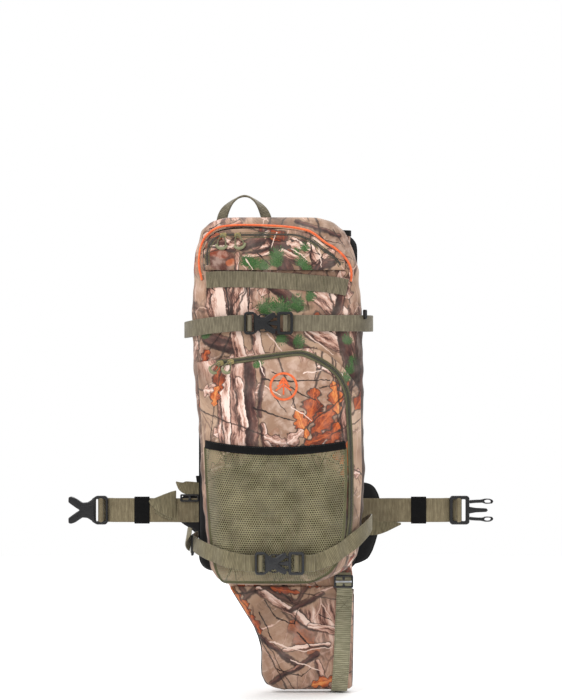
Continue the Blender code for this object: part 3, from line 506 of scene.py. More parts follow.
# ------------------------------------------------------------------ materials
class Shade:
    """Short names for building a node tree."""

    def __init__(self, name):
        self.mat = bpy.data.materials.new(name)
        self.mat.use_nodes = True
        self.t = self.mat.node_tree
        self.bsdf = self.t.nodes["Principled BSDF"]
        self.count = 0

    def new(self, kind, **props):
        n = self.t.nodes.new(kind)
        n.location = (-220 * (1 + self.count % 40), -160 * (self.count // 40))
        self.count += 1
        for k, v in props.items():
            setattr(n, k, v)
        return n

    def feed(self, socket, value):
        if isinstance(value, bpy.types.NodeSocket):
            self.t.links.new(value, socket)
        else:
            if hasattr(socket.default_value, "__len__") and not hasattr(value, "__len__"):
                value = [value] * len(socket.default_value)
            if hasattr(value, "__len__") and len(socket.default_value) == 4 and len(value) == 3:
                value = (*value, 1.0)
            socket.default_value = value

    def m(self, op, a, b=0.0, c=0.0, clamp=False):
        n = self.new("ShaderNodeMath", operation=op, use_clamp=clamp)
        for s, v in zip(n.inputs, (a, b, c)):
            self.feed(s, v)
        return n.outputs[0]

    def v(self, op, a, b=(0, 0, 0), scale=None):
        n = self.new("ShaderNodeVectorMath", operation=op)
        self.feed(n.inputs[0], a)
        if op != "SCALE" and op not in ("LENGTH", "NORMALIZE"):
            self.feed(n.inputs[1], b)
        if scale is not None:
            self.feed(n.inputs["Scale"], scale)
        return n.outputs["Value"] if op in ("LENGTH", "DOT_PRODUCT", "DISTANCE") else n.outputs["Vector"]

    def xyz(self, vec):
        n = self.new("ShaderNodeSeparateXYZ")
        self.feed(n.inputs[0], vec)
        return n.outputs[0], n.outputs[1], n.outputs[2]

    def join(self, x, y, z=0.0):
        n = self.new("ShaderNodeCombineXYZ")
        for s, v in zip(n.inputs, (x, y, z)):
            self.feed(s, v)
        return n.outputs[0]

    def mix(self, fac, a, b, blend="MIX"):
        n = self.new("ShaderNodeMix", data_type="RGBA", blend_type=blend, clamp_factor=True)
        self.feed(n.inputs[0], fac)
        self.feed(n.inputs[6], a)
        self.feed(n.inputs[7], b)
        return n.outputs[2]

    def ramp(self, fac, stops, ease="LINEAR"):
        n = self.new("ShaderNodeValToRGB")
        n.color_ramp.interpolation = ease
        els = n.color_ramp.elements
        while len(els) < len(stops):
            els.new(0.5)
        for e, (p, c) in zip(els, sorted(stops, key=lambda q: q[0])):
            e.position = p
            e.color = (*c, 1.0) if hasattr(c, "__len__") else (c, c, c, 1.0)
        self.feed(n.inputs[0], fac)
        return n.outputs[0]

    def noise(self, vec, scale, detail=3.0, rough=0.5, warp=0.0, dims="3D", colour=False):
        n = self.new("ShaderNodeTexNoise", noise_dimensions=dims)
        self.feed(n.inputs["Vector"], vec)
        n.inputs["Scale"].default_value = scale
        n.inputs["Detail"].default_value = detail
        n.inputs["Roughness"].default_value = rough
        n.inputs["Distortion"].default_value = warp
        return n.outputs["Color" if colour else "Fac"]

    def voronoi(self, vec, scale, feature="F1", rand=1.0, dims="2D"):
        n = self.new("ShaderNodeTexVoronoi", feature=feature, voronoi_dimensions=dims)
        self.feed(n.inputs["Vector"], vec)
        n.inputs["Scale"].default_value = scale
        n.inputs["Randomness"].default_value = rand
        return n

    def step(self, x, lo, hi):
        """0 below lo and 1 above hi, smooth between; reversed where lo is over hi."""
        n = self.new("ShaderNodeMapRange", interpolation_type="SMOOTHSTEP", clamp=True)
        self.feed(n.inputs[0], x)
        if lo < hi:
            vals = (lo, hi, 0.0, 1.0)
        else:
            vals = (hi, lo, 1.0, 0.0)
        for s, v in zip(n.inputs[1:5], vals):
            s.default_value = v
        return n.outputs[0]

    def uv(self):
        return self.new("ShaderNodeUVMap", uv_map="cloth").outputs[0]

    def obj(self):
        return self.new("ShaderNodeTexCoord").outputs["Object"]

    def bump(self, height, strength=0.5, distance=0.0005, normal=None):
        n = self.new("ShaderNodeBump")
        n.inputs["Strength"].default_value = strength
        n.inputs["Distance"].default_value = distance
        self.feed(n.inputs["Height"], height)
        if normal is not None:
            self.feed(n.inputs["Normal"], normal)
        return n.outputs[0]

    def end(self, colour, rough, normal=None, sheen=0.0, sheen_rough=0.5, metal=0.0, spec=0.5, alpha=None,
            coat=0.0, coat_rough=0.1):
        b = self.bsdf
        self.feed(b.inputs["Base Color"], colour)
        self.feed(b.inputs["Roughness"], rough)
        b.inputs["Metallic"].default_value = metal
        b.inputs["Specular IOR Level"].default_value = spec
        b.inputs["Sheen Weight"].default_value = sheen
        b.inputs["Sheen Roughness"].default_value = sheen_rough
        b.inputs["Coat Weight"].default_value = coat
        b.inputs["Coat Roughness"].default_value = coat_rough
        if normal is not None:
            self.feed(b.inputs["Normal"], normal)
        if alpha is not None:
            self.feed(b.inputs["Alpha"], alpha)
        return self.mat


def srgb(r, g, b):
    """A display colour in 0..255 as a linear one."""
    return tuple((c / 255 / 12.92) if c <= 10 else (((c / 255 + 0.055) / 1.055) ** 2.4) for c in (r, g, b))


def weave(s, uv, pitch=0.0011, twill=False):
    """Height of a plain weave or twill; pitch in metres."""
    x, y, _ = s.xyz(uv)
    k = 2 * math.pi / pitch
    a = s.m("SINE", s.m("MULTIPLY", x, k))
    b = s.m("SINE", s.m("MULTIPLY", y, k))
    if twill:
        d = s.m("SINE", s.m("MULTIPLY", s.m("ADD", x, y), k / 2))
        return s.m("ADD", s.m("MULTIPLY", d, 0.6), s.m("MULTIPLY", s.m("MULTIPLY", a, b), 0.4))
    return s.m("MULTIPLY", a, b)


TAUPE = [srgb(108, 88, 72), srgb(151, 128, 107), srgb(180, 158, 134), srgb(205, 187, 164)]
BARK_DARK, BARK_MID, BARK_PINK, BARK_PALE = srgb(66, 45, 42), srgb(116, 86, 76), srgb(190, 158, 140), srgb(232, 218, 204)
RUST, ORANGE_LEAF, YELLOW_LEAF, DEEP_RUST = srgb(150, 78, 44), srgb(196, 118, 66), srgb(214, 160, 98), srgb(96, 48, 32)
GREEN_D, GREEN_M, GREEN_L = srgb(26, 58, 26), srgb(54, 104, 50), srgb(128, 166, 104)
TWIG_D, TWIG_P = srgb(52, 36, 33), srgb(224, 210, 196)


class Group(Shade):
    """A node group with named inputs and outputs, used over and over by the cloths."""

    def __init__(self, name, ins, outs):
        self.t = bpy.data.node_groups.new(name, "ShaderNodeTree")
        self.count = 0
        kinds = {"f": "NodeSocketFloat", "v": "NodeSocketVector", "c": "NodeSocketColor"}
        for n, k in ins:
            self.t.interface.new_socket(n, in_out="INPUT", socket_type=kinds[k])
        for n, k in outs:
            self.t.interface.new_socket(n, in_out="OUTPUT", socket_type=kinds[k])
        self.i = self.new("NodeGroupInput")
        self.o = self.new("NodeGroupOutput")

    def arg(self, name):
        return self.i.outputs[name]

    def give(self, name, socket):
        self.t.links.new(socket, self.o.inputs[name])


def use(s, group, **values):
    """One use of a group in the tree of s: its output sockets."""
    n = s.new("ShaderNodeGroup")
    n.node_tree = group.t
    for k, v in values.items():
        s.feed(n.inputs[k], v)
    return n.outputs


def after(s, place_, f):
    """The same place, worked out once f is: it keeps a long print in the renderer's reach."""
    n = s.new("ShaderNodeVectorMath", operation="MULTIPLY_ADD")
    s.feed(n.inputs[0], f)
    n.inputs[1].default_value = (1e-9, 1e-9, 1e-9)
    s.feed(n.inputs[2], place_)
    return n.outputs["Vector"]


def leaf_shape(s, a, b, lobes=3.2, phase=0.4):
    """Signed room inside a lobed leaf: a along and b across, each in -1..1."""
    body = s.m("POWER", s.m("MAXIMUM", s.m("SUBTRACT", 1.0, s.m("MULTIPLY", a, a)), 0.0), 0.6)
    lobe = s.m("MULTIPLY_ADD", s.m("SINE", s.m("MULTIPLY_ADD", s.m("ABSOLUTE", a), lobes * math.pi, phase)), 0.30, 0.72)
    return s.m("SUBTRACT", s.m("MULTIPLY", body, lobe), s.m("ABSOLUTE", b))


def leaf_body(s, a, b, seed, tint):
    dark, mid, light = tint
    mottle = s.noise(s.join(a, b, seed), 2.2, 4, 0.65)
    body = s.ramp(s.m("MULTIPLY_ADD", s.m("ABSOLUTE", b), -0.25, mottle), [(0.25, dark), (0.42, mid), (0.62, light)])
    rib = s.step(s.m("ABSOLUTE", b), 0.07, 0.02)
    side = s.step(s.m("SINE", s.m("MULTIPLY_ADD", s.m("SUBTRACT", a, s.m("MULTIPLY", s.m("ABSOLUTE", b), 0.9)), 17.0, 0.3)), 0.9, 1.0)
    return s.mix(s.m("MULTIPLY", s.m("MAXIMUM", rib, s.m("MULTIPLY", side, 0.6)), 0.75), body, light)


def ground_group():
    """Matted grass, bark, a net of branches and fallen leaves; also the wobbly place in mm."""
    s = Group("print_ground", [("UV", "v"), ("Seed", "f"), ("Bark", "f"), ("Net", "f"), ("Leaves", "f")],
              [("Color", "c"), ("Place", "v")])
    uv, seed = s.arg("UV"), s.arg("Seed")
    jump = s.join(s.m("MULTIPLY", seed, 0.731), s.m("MULTIPLY", seed, 0.413))
    shift = s.v("ADD", uv, jump)
    wob = s.v("SCALE", s.v("SUBTRACT", s.noise(shift, 22, 4, 0.62, colour=True), (0.5, 0.5, 0.5)), scale=0.016)
    fine_wob = s.v("SCALE", s.v("SUBTRACT", s.noise(shift, 110, 3, 0.6, colour=True), (0.5, 0.5, 0.5)), scale=0.0042)
    q = s.v("ADD", s.v("ADD", uv, wob), fine_wob)
    qs = s.v("ADD", q, jump)
    low = s.noise(shift, 9, 4, 0.55, 0.6)
    col = s.ramp(low, [(0.28, TAUPE[0]), (0.42, TAUPE[1]), (0.55, TAUPE[2]), (0.72, TAUPE[3])])
    for k, (angle, colour, amount) in enumerate(((25, BARK_PALE, 0.55), (-40, BARK_DARK, 0.5), (78, BARK_MID, 0.6))):
        sx, sy, _ = s.xyz(qs)
        c, n = math.cos(math.radians(angle)), math.sin(math.radians(angle))
        along = s.m("ADD", s.m("MULTIPLY", sx, c), s.m("MULTIPLY", sy, n))
        over = s.m("SUBTRACT", s.m("MULTIPLY", sy, c), s.m("MULTIPLY", sx, n))
        grass = s.noise(s.join(s.m("MULTIPLY", along, 0.14), over, 3.1 * k), 210, 3, 0.6)
        where = s.noise(s.join(sx, sy, 7.7 * k), 17, 2, 0.5)
        f = s.m("MULTIPLY", s.step(grass, 0.56, 0.66), s.step(where, 0.47, 0.6))
        col = s.mix(s.m("MULTIPLY", f, amount), col, colour)
        qs = after(s, qs, f)
    sx, sy, _ = s.xyz(qs)
    limit = s.m("MULTIPLY_ADD", s.arg("Bark"), -0.22, 0.62)
    zone = s.m("MULTIPLY", s.m("SUBTRACT", s.noise(qs, 5.5, 2, 0.5), limit), 12.0, clamp=True)
    bark = s.noise(s.join(s.m("ADD", sx, s.m("MULTIPLY", sy, 0.18)), s.m("MULTIPLY", sy, 0.17), 1.0), 95, 6, 0.66, 0.35)
    col = s.mix(zone, col, s.ramp(bark, [(0.33, BARK_DARK), (0.44, BARK_MID), (0.52, BARK_PINK), (0.66, BARK_PALE)]))
    qs = after(s, qs, zone)
    for scale, wide, pale in ((13.0, 0.055, False), (26.0, 0.035, True), (19.0, 0.026, False)):
        at = s.v("ADD", qs, (scale * 0.37, scale * 0.11, 0))
        e = s.voronoi(s.v("MULTIPLY", at, (1.0, 0.55, 1.0)), scale, "DISTANCE_TO_EDGE").outputs["Distance"]
        gate = s.step(s.noise(at, 11, 2, 0.5), 0.5, 0.56)
        f = s.m("MULTIPLY", s.step(e, wide * 0.45, wide), -1.0)
        f = s.m("MULTIPLY", s.m("ADD", f, 1.0), gate)
        shade = s.ramp(s.m("DIVIDE", e, wide), [(0.0, BARK_PALE if pale else BARK_MID),
                                                (0.5, BARK_PINK if pale else BARK_DARK), (1.0, BARK_DARK)])
        col = s.mix(s.m("MULTIPLY", f, s.arg("Net")), col, shade)
        qs = after(s, qs, f)
    for scale, keep, tint in ((11.0, 0.5, (DEEP_RUST, RUST, ORANGE_LEAF)), (17.0, 0.62, (BARK_MID, BARK_PINK, BARK_PALE))):
        at = s.v("ADD", qs, (scale * 0.23, scale * 0.41, 0))
        v = s.voronoi(at, scale, "F1", 0.8)
        rx, ry, _ = s.xyz(s.v("SCALE", s.v("SUBTRACT", at, v.outputs["Position"]), scale=scale * 2.6))
        r, g, bch = s.xyz(v.outputs["Color"])
        ang = s.m("MULTIPLY", r, 6.283)
        ca, sa = s.m("COSINE", ang), s.m("SINE", ang)
        a = s.m("ADD", s.m("MULTIPLY", rx, ca), s.m("MULTIPLY", ry, sa))
        b = s.m("MULTIPLY", s.m("SUBTRACT", s.m("MULTIPLY", ry, ca), s.m("MULTIPLY", rx, sa)), 1.7)
        here = s.m("GREATER_THAN", g, s.m("MULTIPLY_ADD", s.arg("Leaves"), -2 * (1 - keep), 1.0))
        room = leaf_shape(s, a, b)
        f = s.m("MULTIPLY", s.step(room, 0.0, 0.06), here)
        col = s.mix(s.m("MULTIPLY", s.m("MULTIPLY", s.step(room, -0.16, -0.02), here), 0.75), col, TWIG_D)
        col = s.mix(f, col, leaf_body(s, a, b, 0.5, tint))
        qs = after(s, qs, f)
    s.give("Color", col)
    s.give("Place", s.v("SCALE", after(s, q, f), scale=1000.0))
    return s


def seg_parts(s):
    """Distance of the place to a segment, how far along it is, and the signed way across."""
    px, pz, _ = s.xyz(s.arg("Place"))
    dx, dz = s.m("SUBTRACT", px, s.arg("AX")), s.m("SUBTRACT", pz, s.arg("AZ"))
    ux, uz, length = s.arg("UX"), s.arg("UZ"), s.arg("Long")
    along = s.m("ADD", s.m("MULTIPLY", dx, ux), s.m("MULTIPLY", dz, uz))
    over = s.m("SUBTRACT", s.m("MULTIPLY", dx, uz), s.m("MULTIPLY", dz, ux))
    t = s.m("DIVIDE", along, length, clamp=True)
    past = s.m("SUBTRACT", along, s.m("MULTIPLY", t, length))
    return s.v("LENGTH", s.join(over, past)), t, along, over


SEG_IN = [("Place", "v"), ("Color", "c"), ("AX", "f"), ("AZ", "f"), ("UX", "f"), ("UZ", "f"), ("Long", "f"), ("RA", "f"), ("RB", "f")]
THEN = [("Color", "c"), ("Place", "v")]
LIMB_TINTS = {"pale": [(0.30, BARK_DARK), (0.38, BARK_MID), (0.46, BARK_PINK), (0.58, BARK_PALE)],
              "dark": [(0.36, BARK_DARK), (0.50, srgb(92, 66, 62)), (0.62, BARK_MID), (0.78, BARK_PINK)],
              "rust": [(0.34, DEEP_RUST), (0.46, RUST), (0.58, ORANGE_LEAF), (0.74, YELLOW_LEAF)],
              "": [(0.33, BARK_DARK), (0.44, BARK_MID), (0.54, BARK_PINK), (0.70, BARK_PALE)]}


def limb_group(tint):
    s = Group(f"print_limb_{tint or 'plain'}", SEG_IN, THEN)
    dist, t, along, over = seg_parts(s)
    r = s.m("ADD", s.m("MULTIPLY", t, s.m("SUBTRACT", s.arg("RB"), s.arg("RA"))), s.arg("RA"))
    d = s.m("SUBTRACT", dist, r)
    grain = s.noise(s.join(s.m("MULTIPLY", over, 0.001), s.m("MULTIPLY", along, 0.00016), s.m("MULTIPLY", s.arg("AX"), 0.01)),
                    170, 6, 0.68, 0.3)
    lit = s.m("ADD", grain, s.m("MULTIPLY", s.m("DIVIDE", over, r), -0.13))
    edge = s.m("MULTIPLY", s.step(d, 2.4, 0.2), 0.75)
    f = s.step(d, 0.4, -0.4)
    col = s.mix(edge, s.arg("Color"), TWIG_D)
    s.give("Color", s.mix(f, col, s.ramp(lit, LIMB_TINTS[tint])))
    s.give("Place", after(s, s.arg("Place"), f))
    return s


def twig_group(pale):
    s = Group("print_twig_pale" if pale else "print_twig_dark", SEG_IN, THEN)
    dist, t, along, over = seg_parts(s)
    r = s.m("ADD", s.m("MULTIPLY", t, s.m("SUBTRACT", s.arg("RB"), s.arg("RA"))), s.arg("RA"))
    f = s.step(s.m("SUBTRACT", dist, r), 0.35, -0.35)
    s.give("Color", s.mix(f, s.arg("Color"), TWIG_P if pale else TWIG_D))
    s.give("Place", after(s, s.arg("Place"), f))
    return s


LEAF_TINTS = {"rust": (DEEP_RUST, RUST, ORANGE_LEAF), "gold": (RUST, ORANGE_LEAF, YELLOW_LEAF),
              "dry": (BARK_MID, BARK_PINK, BARK_PALE), "green": (GREEN_D, GREEN_M, GREEN_L)}


def leaf_group(tint):
    s = Group(f"print_leaf_{tint}", [("Place", "v"), ("Color", "c"), ("AX", "f"), ("AZ", "f"), ("C", "f"), ("N", "f"),
                                     ("Long", "f"), ("Wide", "f")], THEN)
    px, pz, _ = s.xyz(s.arg("Place"))
    dx, dz = s.m("SUBTRACT", px, s.arg("AX")), s.m("SUBTRACT", pz, s.arg("AZ"))
    c, n = s.arg("C"), s.arg("N")
    a = s.m("DIVIDE", s.m("ADD", s.m("MULTIPLY", dx, c), s.m("MULTIPLY", dz, n)), s.arg("Long"))
    b = s.m("DIVIDE", s.m("SUBTRACT", s.m("MULTIPLY", dz, c), s.m("MULTIPLY", dx, n)), s.arg("Wide"))
    room = leaf_shape(s, a, b)
    f = s.step(room, 0.0, 0.06)
    col = s.mix(s.m("MULTIPLY", s.step(room, -0.20, -0.03), 0.8), s.arg("Color"), TWIG_D)
    s.give("Color", s.mix(f, col, leaf_body(s, a, b, s.m("MULTIPLY", s.arg("AX"), 0.1), LEAF_TINTS[tint])))
    s.give("Place", after(s, s.arg("Place"), f))
    return s


def tuft_group():
    s = Group("print_tuft", [("Place", "v"), ("Color", "c"), ("AX", "f"), ("AZ", "f"), ("Radius", "f"), ("Lean", "f")], THEN)
    px, pz, _ = s.xyz(s.arg("Place"))
    dx, dz = s.m("SUBTRACT", px, s.arg("AX")), s.m("SUBTRACT", pz, s.arg("AZ"))
    ang = s.m("ARCTAN2", dz, dx)
    rho = s.m("DIVIDE", s.v("LENGTH", s.join(dx, dz)), s.arg("Radius"))
    spread = s.m("COSINE", s.m("SUBTRACT", ang, s.arg("Lean")))
    ray = s.noise(s.join(ang, s.m("MULTIPLY", rho, 0.35), s.arg("AX")), 7.5, 3, 0.7)
    reach = s.m("MULTIPLY_ADD", spread, 0.28, 0.72)
    f = s.m("MULTIPLY", s.step(s.m("SUBTRACT", ray, s.m("MULTIPLY", rho, 0.30)), 0.26, 0.34),
            s.step(s.m("SUBTRACT", rho, reach), 0.12, -0.18))
    fine = s.noise(s.join(ang, s.m("MULTIPLY", rho, 0.5), s.arg("AZ")), 16, 3, 0.7)
    green = s.ramp(fine, [(0.34, GREEN_D), (0.5, GREEN_M), (0.68, GREEN_L)])
    s.give("Color", s.mix(f, s.arg("Color"), green))
    s.give("Place", after(s, s.arg("Place"), f))
    return s


def patch_group():
    s = Group("print_and_shade_patch", [("Place", "v"), ("Color", "c"), ("AX", "f"), ("AZ", "f"), ("RX", "f"), ("RZ", "f"), ("Share", "f"),
                              ("Fleck", "f"), ("Tint", "c")], THEN)
    px, pz, _ = s.xyz(s.arg("Place"))
    d = s.v("LENGTH", s.join(s.m("DIVIDE", s.m("SUBTRACT", px, s.arg("AX")), s.arg("RX")),
                             s.m("DIVIDE", s.m("SUBTRACT", pz, s.arg("AZ")), s.arg("RZ"))))
    grey = s.step(s.noise(s.v("SCALE", s.arg("Place"), scale=0.001), 60, 4, 0.6), 0.42, 0.64)
    tinted = s.mix(s.m("MULTIPLY", grey, s.arg("Fleck")), s.arg("Tint"), BARK_PALE)
    f = s.m("MULTIPLY", s.step(d, 1.12, 0.78), s.arg("Share"))
    s.give("Color", s.mix(f, s.arg("Color"), tinted))
    s.give("Place", after(s, s.arg("Place"), f))
    return s


GROUND = ground_group()
LIMB = {k: limb_group(k) for k in LIMB_TINTS}
TWIG = {p: twig_group(p) for p in (True, False)}
LEAF = {k: leaf_group(k) for k in LEAF_TINTS}
TUFT, PATCH = tuft_group(), patch_group()


def camo(name, limbs=(), twigs=(), leaves=(), tufts=(), patches=(), late=(), seed=0.0, busy=0.5, scatter=1.0,
         leaf_scatter=0.5, bump=0.85, tone=(0.96, 0.86, 0.88)):
    """Printed woodland cloth. The print follows the cloth's own (u, v) in metres; the lists
    hold things printed at places in mm:
    limbs (ax, az, bx, bz, ra, rb, tint), twigs (ax, az, bx, bz, r, pale), leaves
    (x, z, degrees, long, wide, tint), tufts (x, z, r, lean degrees), patches and, over all, late ones (x, z, rx, rz,
    colour, share), some of which are painted shade."""
    s = Shade(name)
    uv = s.uv()
    o = use(s, GROUND, UV=uv, Seed=seed, Bark=busy, Net=scatter, Leaves=leaf_scatter)
    for x, z, rx, rz, colour, share in patches:
        o = use(s, PATCH, Place=o["Place"], Color=o["Color"], AX=x, AZ=z, RX=rx, RZ=rz, Share=share, Fleck=0.35, Tint=colour)
    for ax, az, bx, bz, ra, rb, tint in limbs:
        n = math.hypot(bx - ax, bz - az)
        o = use(s, LIMB[tint], Place=o["Place"], Color=o["Color"], AX=ax, AZ=az, UX=(bx - ax) / n, UZ=(bz - az) / n, Long=n, RA=ra, RB=rb)
    for x, z, degrees, long, wide, tint in leaves:
        a = math.radians(degrees)
        o = use(s, LEAF[tint], Place=o["Place"], Color=o["Color"], AX=x, AZ=z, C=math.cos(a), N=math.sin(a), Long=long / 2, Wide=wide / 2)
    for x, z, radius, lean_deg in tufts:
        o = use(s, TUFT, Place=o["Place"], Color=o["Color"], AX=x, AZ=z, Radius=radius, Lean=math.radians(lean_deg))
    for ax, az, bx, bz, r, pale in twigs:
        n = math.hypot(bx - ax, bz - az)
        o = use(s, TWIG[pale], Place=o["Place"], Color=o["Color"], AX=ax, AZ=az, UX=(bx - ax) / n, UZ=(bz - az) / n, Long=n, RA=r, RB=r * 0.55)
    # late patches over all the rest, some of them painted shade
    for x, z, rx, rz, colour, share in late:
        o = use(s, PATCH, Place=o["Place"], Color=o["Color"], AX=x, AZ=z, RX=rx, RZ=rz, Share=share, Fleck=0.04, Tint=colour)
    deep = s.new("ShaderNodeGamma")
    s.feed(deep.inputs["Color"], o["Color"])
    deep.inputs["Gamma"].default_value = 1.28
    col = s.mix(1.0, deep.outputs["Color"], tone, "MULTIPLY")
    # worn, slightly faded cloth with a fine weave
    fade = s.noise(uv, 34, 5, 0.6)
    col = s.mix(s.m("MULTIPLY", s.step(fade, 0.35, 0.8), 0.12), col, srgb(214, 202, 188))
    yarn = weave(s, uv, 0.0012)
    col = s.mix(s.m("MULTIPLY_ADD", yarn, 0.05, 0.05), col, (0.03, 0.024, 0.02))
    crumple = s.noise(uv, 55, 5, 0.6)
    soft = s.noise(uv, 16, 3, 0.5, 0.4)
    n1 = s.bump(soft, bump * 0.7, 0.004)
    n2 = s.bump(crumple, bump * 0.55, 0.0012, n1)
    n3 = s.bump(yarn, 0.35, 0.00012, n2)
    rough = s.m("MULTIPLY_ADD", fade, 0.14, 0.72)
    return s.end(col, rough, n3, sheen=0.12, sheen_rough=0.45, spec=0.28)


def webbing_mat(name, base, light, dark, pitch=0.0024, rib=0.5, fine=True, sheen=0.25, spec=0.3):
    """Woven nylon webbing: cross ribs, a herringbone in each and two selvedges."""
    s = Shade(name)
    uv = s.uv()
    x, y, _ = s.xyz(uv)
    wave = s.m("SINE", s.m("MULTIPLY", x, 2 * math.pi / pitch))
    yarn = s.m("SINE", s.m("MULTIPLY", s.m("ADD", y, s.m("MULTIPLY", s.m("ABSOLUTE", wave), 0.0004)), 2 * math.pi / 0.0011))
    tone = s.noise(s.join(s.m("MULTIPLY", x, 4.0), y, 0.0), 60, 4, 0.6)
    big = s.noise(uv, 14, 3, 0.5)
    streak = s.noise(s.join(x, s.m("MULTIPLY", y, 0.05), 1.0), 900, 2, 0.5)
    col = s.mix(s.step(tone, 0.35, 0.7), base, light)
    col = s.mix(s.m("MULTIPLY", s.step(streak, 0.48, 0.7), 0.35), col, dark)
    col = s.mix(s.m("MULTIPLY", s.step(wave, -0.2, -0.95), 0.45 + 0.3 * rib), col, dark)
    col = s.mix(s.m("MULTIPLY", s.step(big, 0.55, 0.35), 0.22), col, dark)
    col = s.mix(s.m("MULTIPLY", s.step(s.noise(uv, 1400, 2, 0.5), 0.62, 0.72), 0.25), col, light)
    h = s.m("ADD", s.m("MULTIPLY", wave, rib), s.m("MULTIPLY", yarn, 0.35))
    fuzz = s.noise(uv, 1500, 2, 0.6)
    n1 = s.bump(h, 0.6, 0.00022)
    n2 = s.bump(fuzz, 0.25, 0.0002, n1)
    rough = s.m("MULTIPLY_ADD", tone, 0.2, 0.62)
    return s.end(col, rough, n2, sheen=sheen, sheen_rough=0.4, spec=spec)


def cloth_mat(name, base, light, pitch=0.0011, twill=True, sheen=0.2, rough=0.8, bump=0.5):
    """Plain dyed cloth, 600 denier or the like."""
    s = Shade(name)
    uv = s.uv()
    h = weave(s, uv, pitch, twill)
    tone = s.noise(uv, 40, 5, 0.6)
    slub = s.noise(s.v("MULTIPLY", uv, (1.0, 0.08, 1.0)), 900, 2, 0.6)
    col = s.mix(s.step(tone, 0.3, 0.75), base, light)
    col = s.mix(s.m("MULTIPLY", s.step(slub, 0.55, 0.75), 0.35), col, light)
    col = s.mix(s.m("MULTIPLY", s.step(h, 0.2, -0.8), 0.4), col, tuple(c * 0.45 for c in base))
    n1 = s.bump(s.noise(uv, 45, 4, 0.55), bump, 0.0012)
    n2 = s.bump(h, 0.5, 0.0002, n1)
    return s.end(col, s.m("MULTIPLY_ADD", tone, 0.12, rough - 0.06), n2, sheen=sheen, sheen_rough=0.5, spec=0.3)


def spacer_mat(name, base, light):
    """Black three-layer air mesh on the pads: rows of small holes. Object coordinates."""
    s = Shade(name)
    x, y, z = s.xyz(s.obj())
    at = s.join(s.m("MULTIPLY", x, 1.0), s.m("MULTIPLY", z, 1.0))
    row = s.m("FLOOR", s.m("DIVIDE", z, 0.0026))
    odd = s.m("MULTIPLY", s.m("MODULO", row, 2.0), 0.0015)
    cx = s.m("SUBTRACT", s.m("FRACT", s.m("DIVIDE", s.m("ADD", x, odd), 0.003)), 0.5)
    cz = s.m("SUBTRACT", s.m("FRACT", s.m("DIVIDE", z, 0.0026)), 0.5)
    d = s.v("LENGTH", s.join(s.m("MULTIPLY", cx, 1.15), cz))
    hole = s.step(d, 0.34, 0.22)
    tone = s.noise(at, 60, 4, 0.6)
    col = s.mix(s.step(tone, 0.3, 0.75), base, light)
    col = s.mix(s.m("MULTIPLY", hole, 0.85), col, tuple(c * 0.2 for c in base))
    n1 = s.bump(s.noise(s.obj(), 60, 4, 0.55), 0.35, 0.0012)
    n2 = s.bump(s.m("SUBTRACT", 1.0, hole), 0.7, 0.0006, n1)
    return s.end(col, s.m("MULTIPLY_ADD", tone, 0.12, 0.78), n2, sheen=0.3, sheen_rough=0.5, spec=0.25)


def plastic_mat(name, base, rough=0.36, scuff_and_highlight=0.12, spec=0.5):
    """Moulded acetal: satin, faintly mottled, with a painted highlight along its convex edges and a few pale scuffs."""
    s = Shade(name)
    o = s.obj()
    tone = s.noise(o, 420, 4, 0.6)
    grain = s.noise(o, 2600, 3, 0.6)
    geo = s.new("ShaderNodeNewGeometry").outputs["Pointiness"]
    edge = s.step(geo, 0.52, 0.60)
    col = s.mix(s.step(tone, 0.3, 0.75), base, tuple(min(1, c * 1.35 + 0.003) for c in base))
    # painted highlight: the convex edges are made paler, as if light caught them
    col = s.mix(s.m("MULTIPLY", edge, scuff_and_highlight * 3), col, tuple(min(1, c * 1.6 + 0.05) for c in base))
    scuff = s.step(s.noise(s.v("MULTIPLY", o, (1.0, 1.0, 9.0)), 240, 4, 0.7), 0.62, 0.7)
    col = s.mix(s.m("MULTIPLY", scuff, scuff_and_highlight), col, (0.22, 0.22, 0.23))
    n1 = s.bump(grain, 0.22, 0.00012)
    r = s.m("ADD", s.m("MULTIPLY_ADD", tone, 0.14, rough - 0.07), s.m("MULTIPLY", scuff, 0.12))
    return s.end(col, r, n1, spec=spec)


def cord_mat(name, base, light, dark, pitch=0.0026):
    """Braided cord: two sets of diagonal yarns."""
    s = Shade(name)
    uv = s.uv()
    x, y, _ = s.xyz(uv)
    k = 2 * math.pi / pitch
    a = s.m("SINE", s.m("MULTIPLY", s.m("ADD", x, y), k))
    b = s.m("SINE", s.m("MULTIPLY", s.m("SUBTRACT", x, y), k))
    h = s.m("MAXIMUM", a, b)
    tone = s.noise(s.obj(), 160, 4, 0.6)
    col = s.mix(s.step(tone, 0.3, 0.75), base, light)
    col = s.mix(s.m("MULTIPLY", s.step(h, 0.4, -0.3), 0.6), col, dark)
    n = s.bump(h, 0.6, 0.0003)
    return s.end(col, s.m("MULTIPLY_ADD", tone, 0.15, 0.62), n, sheen=0.2, spec=0.35)


